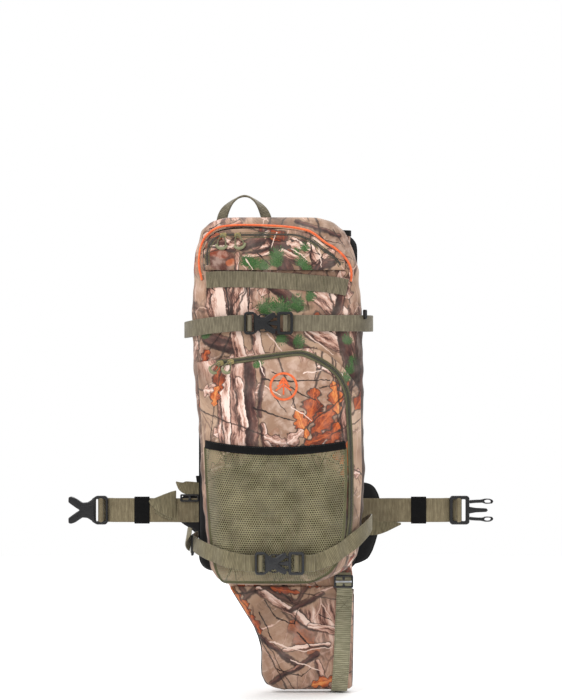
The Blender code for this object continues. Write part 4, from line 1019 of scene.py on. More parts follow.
def mesh_mat(name, base, light, dark):
    """Knitted mesh: round holes in hexagonal rows, really open."""
    s = Shade(name)
    uv = s.uv()
    x, y, _ = s.xyz(uv)
    px_, pz_ = 0.0036, 0.0033
    row = s.m("FLOOR", s.m("DIVIDE", y, pz_))
    odd = s.m("MULTIPLY", s.m("ABSOLUTE", s.m("MODULO", row, 2.0)), px_ / 2)
    cx = s.m("SUBTRACT", s.m("FRACT", s.m("DIVIDE", s.m("ADD", s.m("ADD", x, 1.02), odd), px_)), 0.5)
    cz = s.m("SUBTRACT", s.m("FRACT", s.m("DIVIDE", s.m("ADD", y, pz_ * 1000), pz_)), 0.5)
    d = s.v("LENGTH", s.join(s.m("MULTIPLY", cx, 1.05), s.m("MULTIPLY", cz, 0.92)))
    wobble = s.noise(uv, 700, 2, 0.5)
    edge = s.m("ADD", d, s.m("MULTIPLY_ADD", wobble, 0.10, -0.05))
    solid = s.step(edge, 0.38, 0.42)
    tone = s.noise(uv, 26, 4, 0.6)
    knit = s.m("SINE", s.m("MULTIPLY", s.m("ADD", y, s.m("MULTIPLY", x, 0.4)), 2 * math.pi / 0.0009))
    col = s.mix(s.step(tone, 0.3, 0.75), base, light)
    col = s.mix(s.m("MULTIPLY", s.step(knit, 0.0, -0.9), 0.35), col, dark)
    n = s.bump(s.m("ADD", solid, s.m("MULTIPLY", knit, 0.2)), 0.5, 0.0004)
    return s.end(col, s.m("MULTIPLY_ADD", tone, 0.12, 0.62), n, sheen=0.25, spec=0.35, alpha=solid)


def metal_mat(name, base, rough=0.34):
    s = Shade(name)
    o = s.obj()
    tone = s.noise(o, 500, 4, 0.6)
    geo = s.new("ShaderNodeNewGeometry").outputs["Pointiness"]
    col = s.mix(s.step(tone, 0.3, 0.75), base, tuple(min(1, c * 1.5) for c in base))
    col = s.mix(s.m("MULTIPLY", s.step(geo, 0.52, 0.6), 0.6), col, tuple(min(1, c * 2.4 + 0.05) for c in base))
    n = s.bump(s.noise(o, 1500, 3, 0.6), 0.2, 0.0001)
    return s.end(col, s.m("MULTIPLY_ADD", tone, 0.2, rough - 0.1), n, metal=0.75, spec=0.5)


OLIVE_WEB = webbing_mat("webbing_olive", srgb(102, 94, 76), srgb(126, 118, 97), srgb(54, 48, 37))
KHAKI_WEB = webbing_mat("webbing_khaki", srgb(106, 98, 74), srgb(130, 121, 94), srgb(60, 54, 38))
BELT_WEB = webbing_mat("webbing_tan", srgb(112, 101, 77), srgb(136, 125, 98), srgb(66, 58, 41), pitch=0.0022)
SAGE_WEB = webbing_mat("webbing_sage", srgb(128, 124, 99), srgb(154, 149, 124), srgb(78, 74, 56), pitch=0.0030, rib=0.8)
DAISY_WEB = webbing_mat("webbing_dark_olive", srgb(102, 94, 74), srgb(126, 117, 94), srgb(54, 48, 36), rib=0.8)
BLACK_WEB = webbing_mat("webbing_black", srgb(10, 10, 11), srgb(20, 20, 21), srgb(4, 4, 4), pitch=0.0020, sheen=0.03, spec=0.16)
ELASTIC = webbing_mat("elastic_black", srgb(7, 7, 8), srgb(15, 15, 15), srgb(2, 2, 2), pitch=0.0016, rib=0.9, sheen=0.02, spec=0.12)
BLACK_CLOTH = cloth_mat("cloth_black", srgb(11, 11, 12), srgb(22, 22, 24), 0.0013, sheen=0.06)
LINING = cloth_mat("cloth_lining", srgb(58, 57, 52), srgb(78, 76, 70), 0.0011, twill=False)
SPACER = spacer_mat("air_mesh_black", srgb(22, 22, 24), srgb(40, 40, 43))
PLASTIC = plastic_mat("buckle_black", srgb(9, 9, 11), 0.30, 0.10, spec=0.34)
GREY_PLASTIC = plastic_mat("buckle_grey", srgb(15, 16, 19), 0.25, 0.16, spec=0.45)
SILVER = metal_mat("bar_pale_grey", srgb(150, 154, 160), 0.32)
BRASS = metal_mat("slider_olive_brass", srgb(128, 116, 78), 0.4)
ORANGE = cord_mat("piping_orange", srgb(222, 92, 42), srgb(240, 124, 68), srgb(150, 50, 20), 0.0018)
PULL_CORD = cord_mat("cord_olive", srgb(92, 88, 60), srgb(124, 120, 86), srgb(46, 44, 28), 0.0016)
GRIP = plastic_mat("grip_olive", srgb(106, 106, 76), 0.42, 0.08)
TAPE = cloth_mat("zip_tape_olive", srgb(74, 72, 48), srgb(98, 95, 66), 0.0009, twill=True)
COIL = plastic_mat("zip_coil_dark", srgb(42, 40, 28), 0.34, 0.1)
THREAD_DARK = cord_mat("thread_black", srgb(22, 22, 22), srgb(48, 48, 48), srgb(8, 8, 8), 0.0008)
THREAD_OLIVE = cord_mat("thread_olive", srgb(96, 90, 62), srgb(128, 122, 90), srgb(52, 48, 32), 0.0008)
MESH_GREEN = mesh_mat("mesh_olive", srgb(116, 110, 78), srgb(164, 156, 118), srgb(52, 48, 30))

# ------------------------------------------------------------------ camo cloths, by panel
CAMO_BAG = camo("camo_bag", seed=1.0, busy=0.45, scatter=0.8, leaf_scatter=0.5,
                # the first late patch is painted shade down the bag's right side, turned away from the key light
                late=[(140, -50, 27, 200, srgb(58, 44, 38), 0.8), (-136, -60, 16, 150, srgb(96, 78, 66), 0.4)],
                patches=[(20, 142, 34, 7, GREEN_D, 0.6), (-118, 195, 16, 60, TAUPE[2], 0.7), (96, 245, 22, 46, srgb(142, 122, 104), 0.75),
                         (70, 268, 60, 12, srgb(150, 130, 110), 0.7)],
                limbs=[(-96, 170, -92, 128, 13, 15, "pale"), (-62, 176, -58, 126, 12, 13, "pale"),
                       (-16, 178, 30, 146, 7, 9, "dark"), (60, 168, 96, 132, 16, 12, "pale"), (104, 178, 88, 130, 5, 6, "dark"),
                       (-108, 96, -70, 84, 10, 12, "dark"), (-66, 108, -58, 70, 8, 9, "pale"), (-36, 106, -26, 66, 7, 8, "pale"),
                       (0, 104, 60, 66, 6, 8, "dark"), (52, 106, 96, 84, 12, 10, "pale"), (100, 100, 116, 40, 8, 10, "dark"),
                       (118, 20, 122, -90, 9, 12, ""), (-118, 40, -110, -60, 8, 9, ""), (-110, -80, -98, -250, 10, 8, "pale"),
                       (124, -120, 116, -250, 7, 9, "pale"), (-112, 250, -60, 272, 5, 4, ""), (30, 274, 96, 252, 3, 2.4, "dark")],
                twigs=[(-78, 176, -74, 128, 1.6, False), (-44, 176, -46, 130, 1.4, False), (-108, 178, -96, 166, 1.2, False),
                       (-100, 160, -104, 138, 1.0, False), (64, 252, 112, 196, 0.9, False), (84, 262, 104, 236, 0.8, False),
                       (70, 246, 96, 240, 0.7, False), (92, 226, 116, 214, 0.8, False), (-104, 262, -84, 274, 0.9, False),
                       (40, 106, 84, 70, 1.0, True), (-16, 102, 10, 72, 1.2, True), (118, 60, 126, 10, 1.0, False)],
                tufts=[(-18, 138, 22, 80), (6, 140, 22, 90), (28, 146, 20, 60), (50, 158, 14, 40), (4, 96, 14, -60), (30, 92, 16, -30),
                       (106, 92, 14, 60), (118, 58, 16, 70), (112, 44, 14, 100), (-112, 100, 12, 120)],
                leaves=[(118, -20, 80, 52, 26, "rust"), (122, -74, 100, 60, 24, "gold"), (120, -130, 80, 54, 22, "rust"),
                        (-116, 32, 100, 46, 24, "rust"), (-114, -8, 70, 40, 22, "gold"), (-112, 66, 60, 30, 16, "rust")])

CAMO_FLAP = camo("camo_flap", seed=2.3, busy=0.52, scatter=0.7, leaf_scatter=0.4,
                 patches=[(-88, 215, 24, 17, DEEP_RUST, 0.95), (-92, 224, 14, 8, RUST, 0.8), (-72, 212, 9, 6, ORANGE_LEAF, 0.7),
                          (92, 214, 20, 14, TAUPE[2], 0.7), (64, 246, 12, 10, BARK_PALE, 0.6), (-66, 238, 10, 8, BARK_PINK, 0.7)],
                 limbs=[(-98, 240, -70, 232, 7, 5, "dark"), (-6, 232, -20, 262, 4, 3, "dark"), (-6, 232, -52, 222, 6, 3, ""),
                        (-4, 234, 10, 200, 9, 11, "dark"), (-2, 236, 40, 244, 6, 4, "dark"), (6, 226, 46, 206, 6, 7, ""),
                        (40, 204, 82, 210, 8, 7, "dark"), (48, 240, 60, 216, 5, 6, "pale"), (-36, 236, -14, 256, 5, 4, "pale"),
                        (22, 246, 44, 232, 4, 5, "pale"), (-54, 236, -24, 246, 6, 5, "dark"), (74, 226, 60, 204, 3, 3, "dark"),
                        (-62, 224, -62, 202, 3.4, 3.0, "pale")],
                 twigs=[(-48, 216, -36, 200, 1.0, True), (0, 256, -10, 236, 0.9, True), (50, 252, 52, 206, 1.1, False),
                        (62, 244, 66, 204, 1.0, True), (84, 222, 70, 232, 0.9, False), (-30, 228, -12, 206, 1.1, False),
                        (20, 232, 44, 218, 0.9, True), (-100, 236, -62, 236, 1.2, True), (76, 212, 100, 208, 0.9, False)],
                 tufts=[(-36, 208, 18, 100), (-46, 212, 15, 130), (-22, 206, 15, 60), (-2, 222, 17, 92), (-4, 210, 15, 80), (34, 212, 15, 95),
                        (42, 204, 13, 60), (40, 234, 12, 80), (26, 228, 9, 50)],
                 leaves=[(-70, 238, 20, 26, 12, "dry"), (26, 238, -20, 30, 14, "dry"), (80, 226, 30, 30, 15, "dry")])

CAMO_POCKET = camo("camo_pocket", seed=3.7, busy=0.28, scatter=0.45, leaf_scatter=0.35, tone=(1.10, 1.02, 1.08),
                   patches=[(40, 14, 66, 52, srgb(163, 138, 116), 0.92), (-20, -34, 60, 36, srgb(160, 136, 114), 0.88),
                            (-4, 40, 34, 22, srgb(168, 144, 122), 0.9), (92, -30, 14, 60, srgb(134, 106, 88), 0.6)],
                   # painted shade: a dark patch on the cloth behind the mesh pocket, seen through its holes
                   late=[(-4, -172, 134, 104, srgb(30, 27, 18), 0.86)],
                   limbs=[(-66, 60, -60, -76, 24, 26, ""), (-84, 52, -82, -70, 9, 10, "pale"), (-44, 58, -38, -76, 7, 9, "dark"),
                          (-60, 30, -52, -40, 6, 7, "pale"), (-24, 46, -28, -24, 3.0, 2.2, "dark"), (-24, -40, -14, -76, 5, 6, ""),
                          (62, 50, 98, 38, 3.4, 4, "pale"), (98, 30, 106, -60, 6, 7, "")],
                   twigs=[(-26, 31, 80, 31, 1.3, False), (11, 26, 57, 0, 1.4, False), (58, 69, 58, 31, 1.0, False),
                          (-35, -11, 11, -28, 1.3, False), (11, -28, 28, -32, 1.0, False), (-20, 20, 4, 8, 0.8, True),
                          (30, 24, 20, -10, 0.9, False), (20, -10, 52, -30, 0.9, True), (-10, 44, 14, 38, 0.8, False),
                          (70, 56, 84, 40, 1.0, False), (-28, 58, -22, 36, 1.0, True), (40, 42, 66, 46, 0.8, True),
                          (-4, 4, 14, -18, 0.8, False), (64, 20, 96, 26, 0.9, False)],
                   leaves=[(52, -8, 78, 58, 30, "rust"), (70, -30, 58, 60, 32, "rust"), (36, -36, 110, 44, 24, "gold"),
                           (88, 6, 95, 50, 24, "gold"), (84, -52, 70, 44, 26, "rust"), (22, -58, 40, 40, 20, "dry"),
                           (60, -58, 20, 44, 20, "rust"), (-92, 32, 95, 44, 20, "rust"), (-96, 4, 80, 34, 16, "gold"),
                           (104, -90, 85, 56, 22, "gold"), (106, -150, 95, 60, 22, "rust"), (-4, -60, 160, 36, 18, "dry")],
                   tufts=[(-30, 52, 12, 100), (104, 34, 14, 90)])

CAMO_BOOT = camo("camo_boot", seed=5.1, busy=0.3, scatter=0.9, leaf_scatter=0.3,
                 patches=[(30, -400, 60, 60, srgb(158, 132, 112), 0.55)],
                 limbs=[(-78, -284, -40, -352, 5, 5, "rust"), (-84, -288, -44, -366, 3, 3, "dark"), (-30, -296, 52, -352, 5, 6, "pale"),
                        (52, -352, 92, -362, 6, 5, "pale"), (-24, -372, 30, -412, 4, 4, "dark"), (20, -330, 70, -300, 3, 3, "dark"),
                        (-10, -440, 60, -398, 3, 4, "dark"), (10, -388, 78, -380, 3, 3.4, "pale"), (60, -410, 80, -452, 4, 4, "")],
                 twigs=[(-20, -312, -4, -340, 1.2, False), (-4, -340, 26, -348, 1.0, False), (26, -348, 30, -330, 1.0, False),
                        (-10, -376, 40, -392, 1.2, True), (40, -392, 84, -384, 0.9, True), (0, -420, 36, -430, 1.1, False),
                        (36, -430, 52, -418, 0.9, False), (30, -360, 50, -384, 1.3, False), (-30, -330, -8, -372, 1.2, False),
                        (20, -404, 66, -424, 1.0, True), (64, -330, 84, -344, 1.0, False), (6, -300, 24, -318, 1.0, False)],
                 leaves=[(-56, -318, -62, 40, 20, "gold"), (64, -280, 10, 44, 22, "gold"), (72, -440, 20, 40, 18, "gold"),
                         (-34, -350, -60, 36, 14, "rust"), (10, -296, -10, 46, 16, "rust")])

CAMO_SIDE = camo("camo_sleeve", seed=7.9, busy=0.45, scatter=0.9, leaf_scatter=0.6,
                 limbs=[(-60, 180, -40, -120, 9, 12, ""), (40, 220, 60, -40, 8, 10, "pale")], tufts=[(20, 120, 20, 80)])

# ------------------------------------------------------------------ main bag


def ring_at(z, rear=Y_REAR):
    """One level of the bag: its points, right round from the rear centre."""
    a, b, yf = float(left_at(z)), float(right_at(z)), float(front_at(z))
    depth = rear - yf
    r, rr = min(CORNER, depth * 0.52), min(10.0, depth * 0.3)
    xc = (a + b) / 2
    pts = []
    for x in np.linspace(xc, b - rr, 9):
        pts.append((x, rear))
    for q in np.linspace(0, math.pi / 2, 4)[1:]:
        pts.append((b - rr + rr * math.sin(q), rear - rr + rr * math.cos(q)))
    for y in np.linspace(rear - rr, yf + r, 8)[1:]:
        pts.append((b, y))
    for q in np.linspace(0, math.pi / 2, 12)[1:]:
        pts.append((b - r + r * math.cos(q), yf + r - r * math.sin(q)))
    for x in np.linspace(b - r, a + r, 56)[1:]:
        pts.append((x, yf))
    for q in np.linspace(0, math.pi / 2, 12)[1:]:
        pts.append((a + r - r * math.sin(q), yf + r - r * math.cos(q)))
    for y in np.linspace(yf + r, rear - rr, 8)[1:]:
        pts.append((a, y))
    for q in np.linspace(0, math.pi / 2, 4)[1:]:
        pts.append((a + rr - rr * math.cos(q), rear - rr + rr * math.sin(q)))
    for x in np.linspace(a + rr, xc, 9)[1:]:
        pts.append((x, rear))
    return np.array(pts)


def piping_side(x, z):
    """Distance to the piping's line, under 0 inside it."""
    poly = np.array(PIPING, float)
    d = np.full(np.shape(x), 1e9)
    inside = np.zeros(np.shape(x), bool)
    ring = np.vstack([poly, poly[:1]])
    for (ax, az), (bx, bz) in zip(ring, ring[1:]):
        cross = (az > z) != (bz > z)
        with np.errstate(divide="ignore", invalid="ignore"):
            at = (bx - ax) * (z - az) / (bz - az + 1e-12) + ax
        inside ^= cross & (x < at)
    for (ax, az), (bx, bz) in zip(poly, poly[1:]):
        dx, dz = bx - ax, bz - az
        t = np.clip(((x - ax) * dx + (z - az) * dz) / (dx * dx + dz * dz), 0, 1)
        d = np.minimum(d, np.hypot(x - ax - t * dx, z - az - t * dz))
    return np.where(inside, -d, d)


def bag_folds(x, z):
    """Slack and pull lines of the bag's front cloth."""
    h = fold(x, z, -110, 262, -40, 276, 7, 2.0) + fold(x, z, 20, 272, 96, 250, 8, 2.2)
    h += fold(x, z, 74, 262, 118, 208, 7, 2.4) + fold(x, z, 92, 252, 112, 226, 4, -1.6)
    h += fold(x, z, -124, 214, -116, 164, 6, 1.6) + fold(x, z, 104, 176, 124, 150, 6, 1.8)
    h += fold(x, z, -116, 150, -60, 138, 6, 1.4) + fold(x, z, -120, 96, -76, 84, 6, 1.8)
    h += fold(x, z, 60, 96, 122, 82, 7, 1.8) + fold(x, z, -100, 168, -20, 160, 5, 1.0)
    h += fold(x, z, 30, 164, 100, 144, 6, 1.4) + fold(x, z, -40, 100, 40, 92, 5, 1.0)
    h += fold(x, z, 122, 60, 128, -60, 6, 1.6) + fold(x, z, -122, 60, -118, -40, 6, 1.4)
    # pulled in a little behind the two compression straps
    h -= 1.6 * np.exp(-((z - 112) / 16) ** 2) * np.clip(np.abs(x) / 90, 0, 1)
    h -= 1.2 * np.exp(-((z - 186) / 14) ** 2)
    side = piping_side(x, z)
    h += np.where((side > 0) & (z > 190), 3.2 * np.exp(-((side - 2.5) / 6.5) ** 2), 0.0)
    return h


def build_bag():
    zs = np.unique(np.round(np.concatenate([np.linspace(-283, -262, 9), np.arange(-258, 246, 4.5),
                                            np.linspace(246, 282, 14)]), 2))
    P, UV = [], []
    for z in zs:
        ring = ring_at(z)
        m = len(ring) - 1
        nxt, prv = np.roll(ring[:m], -1, 0), np.roll(ring[:m], 1, 0)
        t = unit(nxt - prv)
        out = np.stack([t[:, 1], -t[:, 0]], 1)       # the ring runs rear, right, front, left
        if out[m // 2][1] > 0:
            out = -out
        p3 = np.column_stack([ring[:m], np.full(m, z)])[:, [0, 1, 2]]
        x, y = ring[:m, 0], ring[:m, 1]
        xyz = np.column_stack([x, y, np.full(m, z)])
        away = np.clip((Y_REAR - 4 - y) / 24, 0, 1)
        ends = np.clip(min(z + 283, 282 - z) / 18, 0.15, 1)
        h = smooth_noise(xyz, 62, 1.3) * 2.6 + smooth_noise(xyz, 27, 4.1) * 1.1
        h += np.where(y < -120, bag_folds(x, np.full(m, z)), 0) * np.clip((-y - 118) / 14, 0, 1)
        side_puck = np.where(np.abs(x - (float(left_at(z)) + float(right_at(z))) / 2) > 100,
                             0.9 * math.sin(z / 6.1) * math.sin(z / 23.0), 0)
        h = (h + side_puck) * away * ends
        xy = ring[:m] + out * h[:, None]
        P.append(np.column_stack([xy, np.full(m, z)]))
        s = np.concatenate([[0], np.cumsum(np.linalg.norm(np.diff(ring, axis=0), axis=1))])
        mid = int(np.argmin(np.abs(ring[20:-20, 0])) + 20)
        u = -(s - s[mid]) + ring[mid, 0]
        UV.append(np.column_stack([u, np.full(m + 1, z)]) * MM)
    # domed ends
    for end, sign in ((0, -1), (-1, 1)):
        base, uv = P[end], UV[end]
        c = base.mean(0)
        rows, uvs = [], []
        for k, up in ((0.80, 0.7), (0.5, 1.0), (0.12, 1.2)):
            row = c + (base - c) * k
            row[:, 2] = base[:, 2] + sign * up * 0.5
            rows.append(row)
            u2 = uv.copy()
            u2[:-1, 0], u2[:-1, 1] = row[:, 0] * MM, (row[:, 2] + sign * (row[:, 1] + 120)) * MM
            u2[-1] = u2[0]
            uvs.append(u2)
        if end == 0:
            P, UV = rows[::-1] + P, uvs[::-1] + UV
        else:
            P, UV = P + rows, UV + uvs
    return lattice("bag_shell", np.array(P), [CAMO_BAG, LINING], np.array(UV), wrap=True, ends=True)


bag = build_bag()
bm = bmesh.new()
bm.from_mesh(bag.data)
bmesh.ops.recalc_face_normals(bm, faces=bm.faces)
bm.to_mesh(bag.data)
bm.free()
bag_front = front_of(bag)

flap_top_line = catmull(FLAP_TOP, None, 8)


def flap_edge(n):
    """The flap's top edge as n columns with even spacing along it."""
    return evenly(flap_top_line, lengths(flap_top_line)[-1] / (n - 1))


def build_flap():
    cols = flap_edge(72)
    x, top = cols[:, 0], cols[:, 1]
    rows = 30
    P = np.zeros((rows + 2, len(x) + 2, 3))
    ts = np.linspace(0, 1, rows)
    for i, t in enumerate(ts):
        for j in range(len(x)):
            z = FLAP_BOTTOM + (top[j] - FLAP_BOTTOM) * t
            e = min(1.0, 6 * (1 - t)) * min(1.0, j / 6, (len(x) - 1 - j) / 6)
            y = bag_front(x[j], z) - 1.7 - 2.2 * e
            P[i + 1, j + 1] = (x[j], y, z)
    xs, zs = P[1:-1, 1:-1, 0], P[1:-1, 1:-1, 2]
    h = fold(xs, zs, -100, 246, -40, 232, 5, 1.2) + fold(xs, zs, -20, 256, 40, 240, 6, 1.4)
    h += fold(xs, zs, 30, 232, 84, 216, 5, 1.5) + fold(xs, zs, -80, 214, -10, 208, 5, 1.2)
    edge = np.clip(np.minimum((FLAP_BOTTOM + 60 - zs) / 12, 1), 0, 1)
    P[1:-1, 1:-1, 1] -= h * edge
    P[0, 1:-1], P[-1, 1:-1] = P[1, 1:-1] + (0, 1.6, 0), P[-2, 1:-1] + (0, 1.9, 0.3)
    P[:, 0], P[:, -1] = P[:, 1] + (-0.3, 1.6, 0), P[:, -2] + (0.3, 1.6, 0)
    P[0, 0], P[-1, 0], P[0, -1], P[-1, -1] = P[1, 0], P[-2, 0], P[1, -1], P[-2, -1]
    uv = np.stack([P[..., 0], P[..., 2]], -1) * MM
    ob = lattice("flap_cloth", P, [CAMO_FLAP, LINING], uv)
    return ob


flap = build_flap()
flap_front = front_of(flap, miss=bag_front)


def open_mouth():
    """The bag's mouth behind the flap, cut through a wall with a lining."""
    thicken(bag, 2.4, -1, lining=True)
    apply_all(bag)
    cols = flap_edge(40)
    grown = [(x - 2.0 if i == 0 else x + 2.0 if i == len(cols) - 1 else x, z + 3.6) for i, (x, z) in enumerate(cols)]
    outline = [(grown[0][0], FLAP_BOTTOM - 1)] + grown + [(grown[-1][0], FLAP_BOTTOM - 1)]
    cutter = from_bm("mouth_cutter", plate_mesh(outline, [], 30, 0.01, 1), LINING)
    place(cutter, (0, 0), -148)
    cut(bag, cutter)


open_mouth()
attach(bag, "pack")
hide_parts("main_bag")
thicken(flap, 1.5, 1, lining=True)
apply_all(flap)
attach(flap, "top_flap")
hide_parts("top_flap")

# Orange piping: a corded edge with its flange tucked under
route, ways, norms = laid(bag_front, PIPING, 0.9, 2.0)
bag_miss = front_of(bag)
piping = rope(route, 1.9, 1.5, 10, "piping_cord", ORANGE, through=False)
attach(piping, "pack")
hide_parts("piping")
edge_run = route + ways * 3.6 + norms * 0.4
flange = webbing("piping_flange", route + ways * 1.2 + norms * -0.3, ways, 5.0, 1.0, CAMO_BAG, step=2.5, smooth_route=False)
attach(flange, "pack")

# ------------------------------------------------------------------ front pocket


def build_pocket():
    us = np.sin(np.linspace(-1, 1, 74) * math.pi / 2 * 0.985) / math.sin(math.pi / 2 * 0.985) * 0.95
    ts = np.concatenate([np.linspace(0, 0.06, 6)[:-1], np.linspace(0.06, 0.9, 74)[:-1], np.linspace(0.9, 1, 11)])
    P = np.zeros((len(ts), len(us), 3))
    for j, u in enumerate(us):
        zc = 0.0
        for i, t in enumerate(ts):
            z = Z_BASE + 1.0
            for _ in range(3):
                a, b = float(left_at(z)), float(right_at(z))
                x = (a + b) / 2 + u * (b - a) / 2
                top = float(pocket_top(x)) if t > 0.02 else float(pocket_top(x))
                z = Z_BASE + 1.0 + (top - Z_BASE - 1.0) * t
            P[i, j] = (x, bag_front(x, z), z)
    w = 2 * ts - 1
    uu = us / 0.95
    bulge = 2.2 + 24.5 * (1 - np.abs(uu)[None, :] ** 4) * (1 - np.abs(w)[:, None] ** 6) ** 0.7
    x, z = P[..., 0], P[..., 2]
    h = fold(x, z, -92, 44, -30, 30, 7, 1.8) + fold(x, z, 50, 62, 92, -30, 8, 2.2)
    h += fold(x, z, -84, 20, -70, -60, 7, 1.8) + fold(x, z, 10, 52, 64, 30, 6, -1.4)
    h += fold(x, z, 76, 20, 100, -60, 6, 1.8) + fold(x, z, -40, -20, 30, -52, 9, 1.6)
    h += fold(x, z, -96, -90, -84, -220, 7, 2.2) + fold(x, z, 100, -110, 96, -230, 7, 2.4)
    h += fold(x, z, 80, -80, 104, -150, 6, 1.6) + fold(x, z, -30, 10, 20, 16, 5, -0.9)
    h += fold(x, z, -60, -262, 60, -268, 7, 1.5)
    flat = P.reshape(-1, 3)
    rough = (smooth_noise(flat, 46, 7.7) * 2.0 + smooth_noise(flat, 20, 2.9) * 0.9).reshape(x.shape)
    fade = (1 - np.abs(uu)[None, :] ** 6) * (1 - np.abs(w)[:, None] ** 10)
    P[..., 1] -= bulge + (h + rough) * fade
    # sewn edge: the cloth turns back on to the bag all round
    tuck = np.zeros((len(ts) + 2, len(us) + 2, 3))
    tuck[1:-1, 1:-1] = P
    tuck[0, 1:-1], tuck[-1, 1:-1] = P[0] + (0, 7, 0.6), P[-1] + (0, 5.5, 0.8)
    tuck[:, 0], tuck[:, -1] = tuck[:, 1] + (-0.6, 5, 0), tuck[:, -2] + (0.6, 5, 0)
    tuck[0, 0], tuck[-1, 0], tuck[0, -1], tuck[-1, -1] = tuck[0, 1], tuck[-1, 1], tuck[0, -2], tuck[-1, -2]
    arc = np.zeros(tuck.shape[:2])
    seg = np.linalg.norm(np.diff(tuck[..., :2], axis=1), axis=2)
    arc[:, 1:] = np.cumsum(seg, 1)
    mid = int(np.argmin(np.abs(us))) + 1
    arc = arc - arc[:, mid:mid + 1] + tuck[:, mid:mid + 1, 0]
    uv = np.stack([arc, tuck[..., 2]], -1) * MM
    ob = lattice("pocket_cloth", tuck, [CAMO_POCKET, LINING], uv)
    return ob


pocket = build_pocket()
pocket_front = front_of(pocket, bag)
thicken(pocket, 1.2, 1, lining=True)
apply_all(pocket)
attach(pocket, "pack")
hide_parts("front_pocket")
pocket_front = front_of(pocket, bag)


def zip_line(tag, y_at, flat, tape_w, body, replaced, out=0.9, coil_w=4.2):
    """Zip tape with a reversed coil: two beads of coil turns that mesh along the middle."""
    route, ways, norms = laid(y_at, flat, out, 2.4)
    tape = webbing(f"{tag}_tape", route, ways, tape_w, 0.9, TAPE, step=2.4, smooth_route=False)
    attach(tape, body)
    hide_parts(replaced)
    at = lengths(route)
    parts = []
    pitch = 1.5
    s = 1.0
    k = 0
    while s < at[-1] - 1:
        c, w, n = (np.array([np.interp(s, at, a[:, q]) for q in range(3)]) for a in (route, ways, norms))
        w, n = unit(w), unit(n)
        t = unit(np.cross(n, w))
        side = 1 if k % 2 else -1
        centre = c + n * 0.75
        a0, a1 = centre - w * side * 0.5, centre + w * side * coil_w / 2
        rings = []
        for q, r in ((0, 0.30), (0.12, 0.60), (0.55, 0.62), (0.9, 0.5), (1.0, 0.2)):
            p = a0 + (a1 - a0) * q + n * 0.42 * math.sin(q * math.pi)
            rings.append([p + (t * math.cos(g) * r + n * math.sin(g) * r) for g in np.linspace(0, 2 * math.pi, 7)[:-1]])
        parts.append(lattice("c", np.array(rings), None, None, wrap=True, ends=True, build=False))
        s += pitch / 2
        k += 1
    coil = together(f"{tag}_coil", parts, COIL)
    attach(coil, body)
    runs = [(route + ways * sgn * (tape_w / 2 - 0.9) + norms * 0.5, norms[len(norms) // 2]) for sgn in (-1, 1)]
    th = stitches(f"{tag}_thread", runs, THREAD_OLIVE, pitch=3.6, long=2.4, radius=0.28)
    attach(th, body)
    return route, ways, norms


top_route = zip_line("top_zip", flap_front, TAPE_TOP, 9.0, "top_flap", "top_zip_tape")
front_route = zip_line("front_zip", pocket_front, FRONT_ZIP, 11.0, "pack", "front_zip_tape")

# ------------------------------------------------------------------ mesh pocket


def mesh_edges(z):
    a, b = float(left_at(z)), float(right_at(z))
    c, h = (a + b) / 2, (b - a) / 2
    return c - 0.93 * h, c + 0.76 * h


def build_mesh():
    nu, nt = 92, 84
    P = np.zeros((nt, nu, 3))
    for i, t in enumerate(np.linspace(0, 1, nt)):
        for j, u in enumerate(np.linspace(0, 1, nu)):
            zt = MESH_TOP - 9.0 * (1 - (2 * u - 1) ** 2)
            z = Z_BASE + 5 + (zt - Z_BASE - 5) * t
            xa, xb = mesh_edges(z)
            x = xa + (xb - xa) * u
            slack = 6.0 * (1 - abs(2 * u - 1) ** 4) * math.sin(min(1.0, t * 1.5) * math.pi / 2)
            P[i, j] = (x, pocket_front(x, z) - 1.5 - slack, z)
    x, z = P[..., 0], P[..., 2]
    u = np.linspace(0, 1, nu)[None, :]
    t = np.linspace(0, 1, nt)[:, None]
    h = fold(x, z, -8, -84, -12, -200, 4.5, 2.2) + fold(x, z, 96, -78, 40, -150, 6, 2.6)
    h += fold(x, z, 96, -100, 62, -170, 5, 2.0) + fold(x, z, -90, -90, -62, -190, 6, 2.0)
    h += fold(x, z, 70, -80, 26, -112, 5, 1.6) + fold(x, z, -60, -86, -40, -150, 5, 1.4)
    h += fold(x, z, -70, -220, 60, -206, 8, 1.8) + fold(x, z, 20, -130, 30, -220, 6, 1.6)
    pucker = 0.9 * np.sin(u * 96 + 0.7 * np.sin(u * 19)) * np.exp(-((t - 0.0) / 0.10) ** 2)
    pucker = pucker + 0.7 * np.sin(u * 70 + 1.1) * np.exp(-((t - 1.0) / 0.07) ** 2)
    fade = (1 - np.abs(2 * u - 1) ** 8) * np.clip(t * 12, 0, 1)
    noise_h = smooth_noise(P.reshape(-1, 3), 24, 9.3).reshape(x.shape) * 0.9
    P[..., 1] -= (h + pucker + noise_h) * fade
    arc = np.zeros(P.shape[:2])
    arc[:, 1:] = np.cumsum(np.linalg.norm(np.diff(P, axis=1), axis=2), 1)
    arc -= arc[:, nu // 2:nu // 2 + 1]
    run = np.zeros(P.shape[:2])
    run[1:] = np.cumsum(np.linalg.norm(np.diff(P, axis=0), axis=2), 0)
    run = np.repeat(run[:, nu // 2:nu // 2 + 1], nu, 1)
    uv = np.stack([arc, run], -1) * MM
    return lattice("mesh_net", P, MESH_GREEN, uv), P


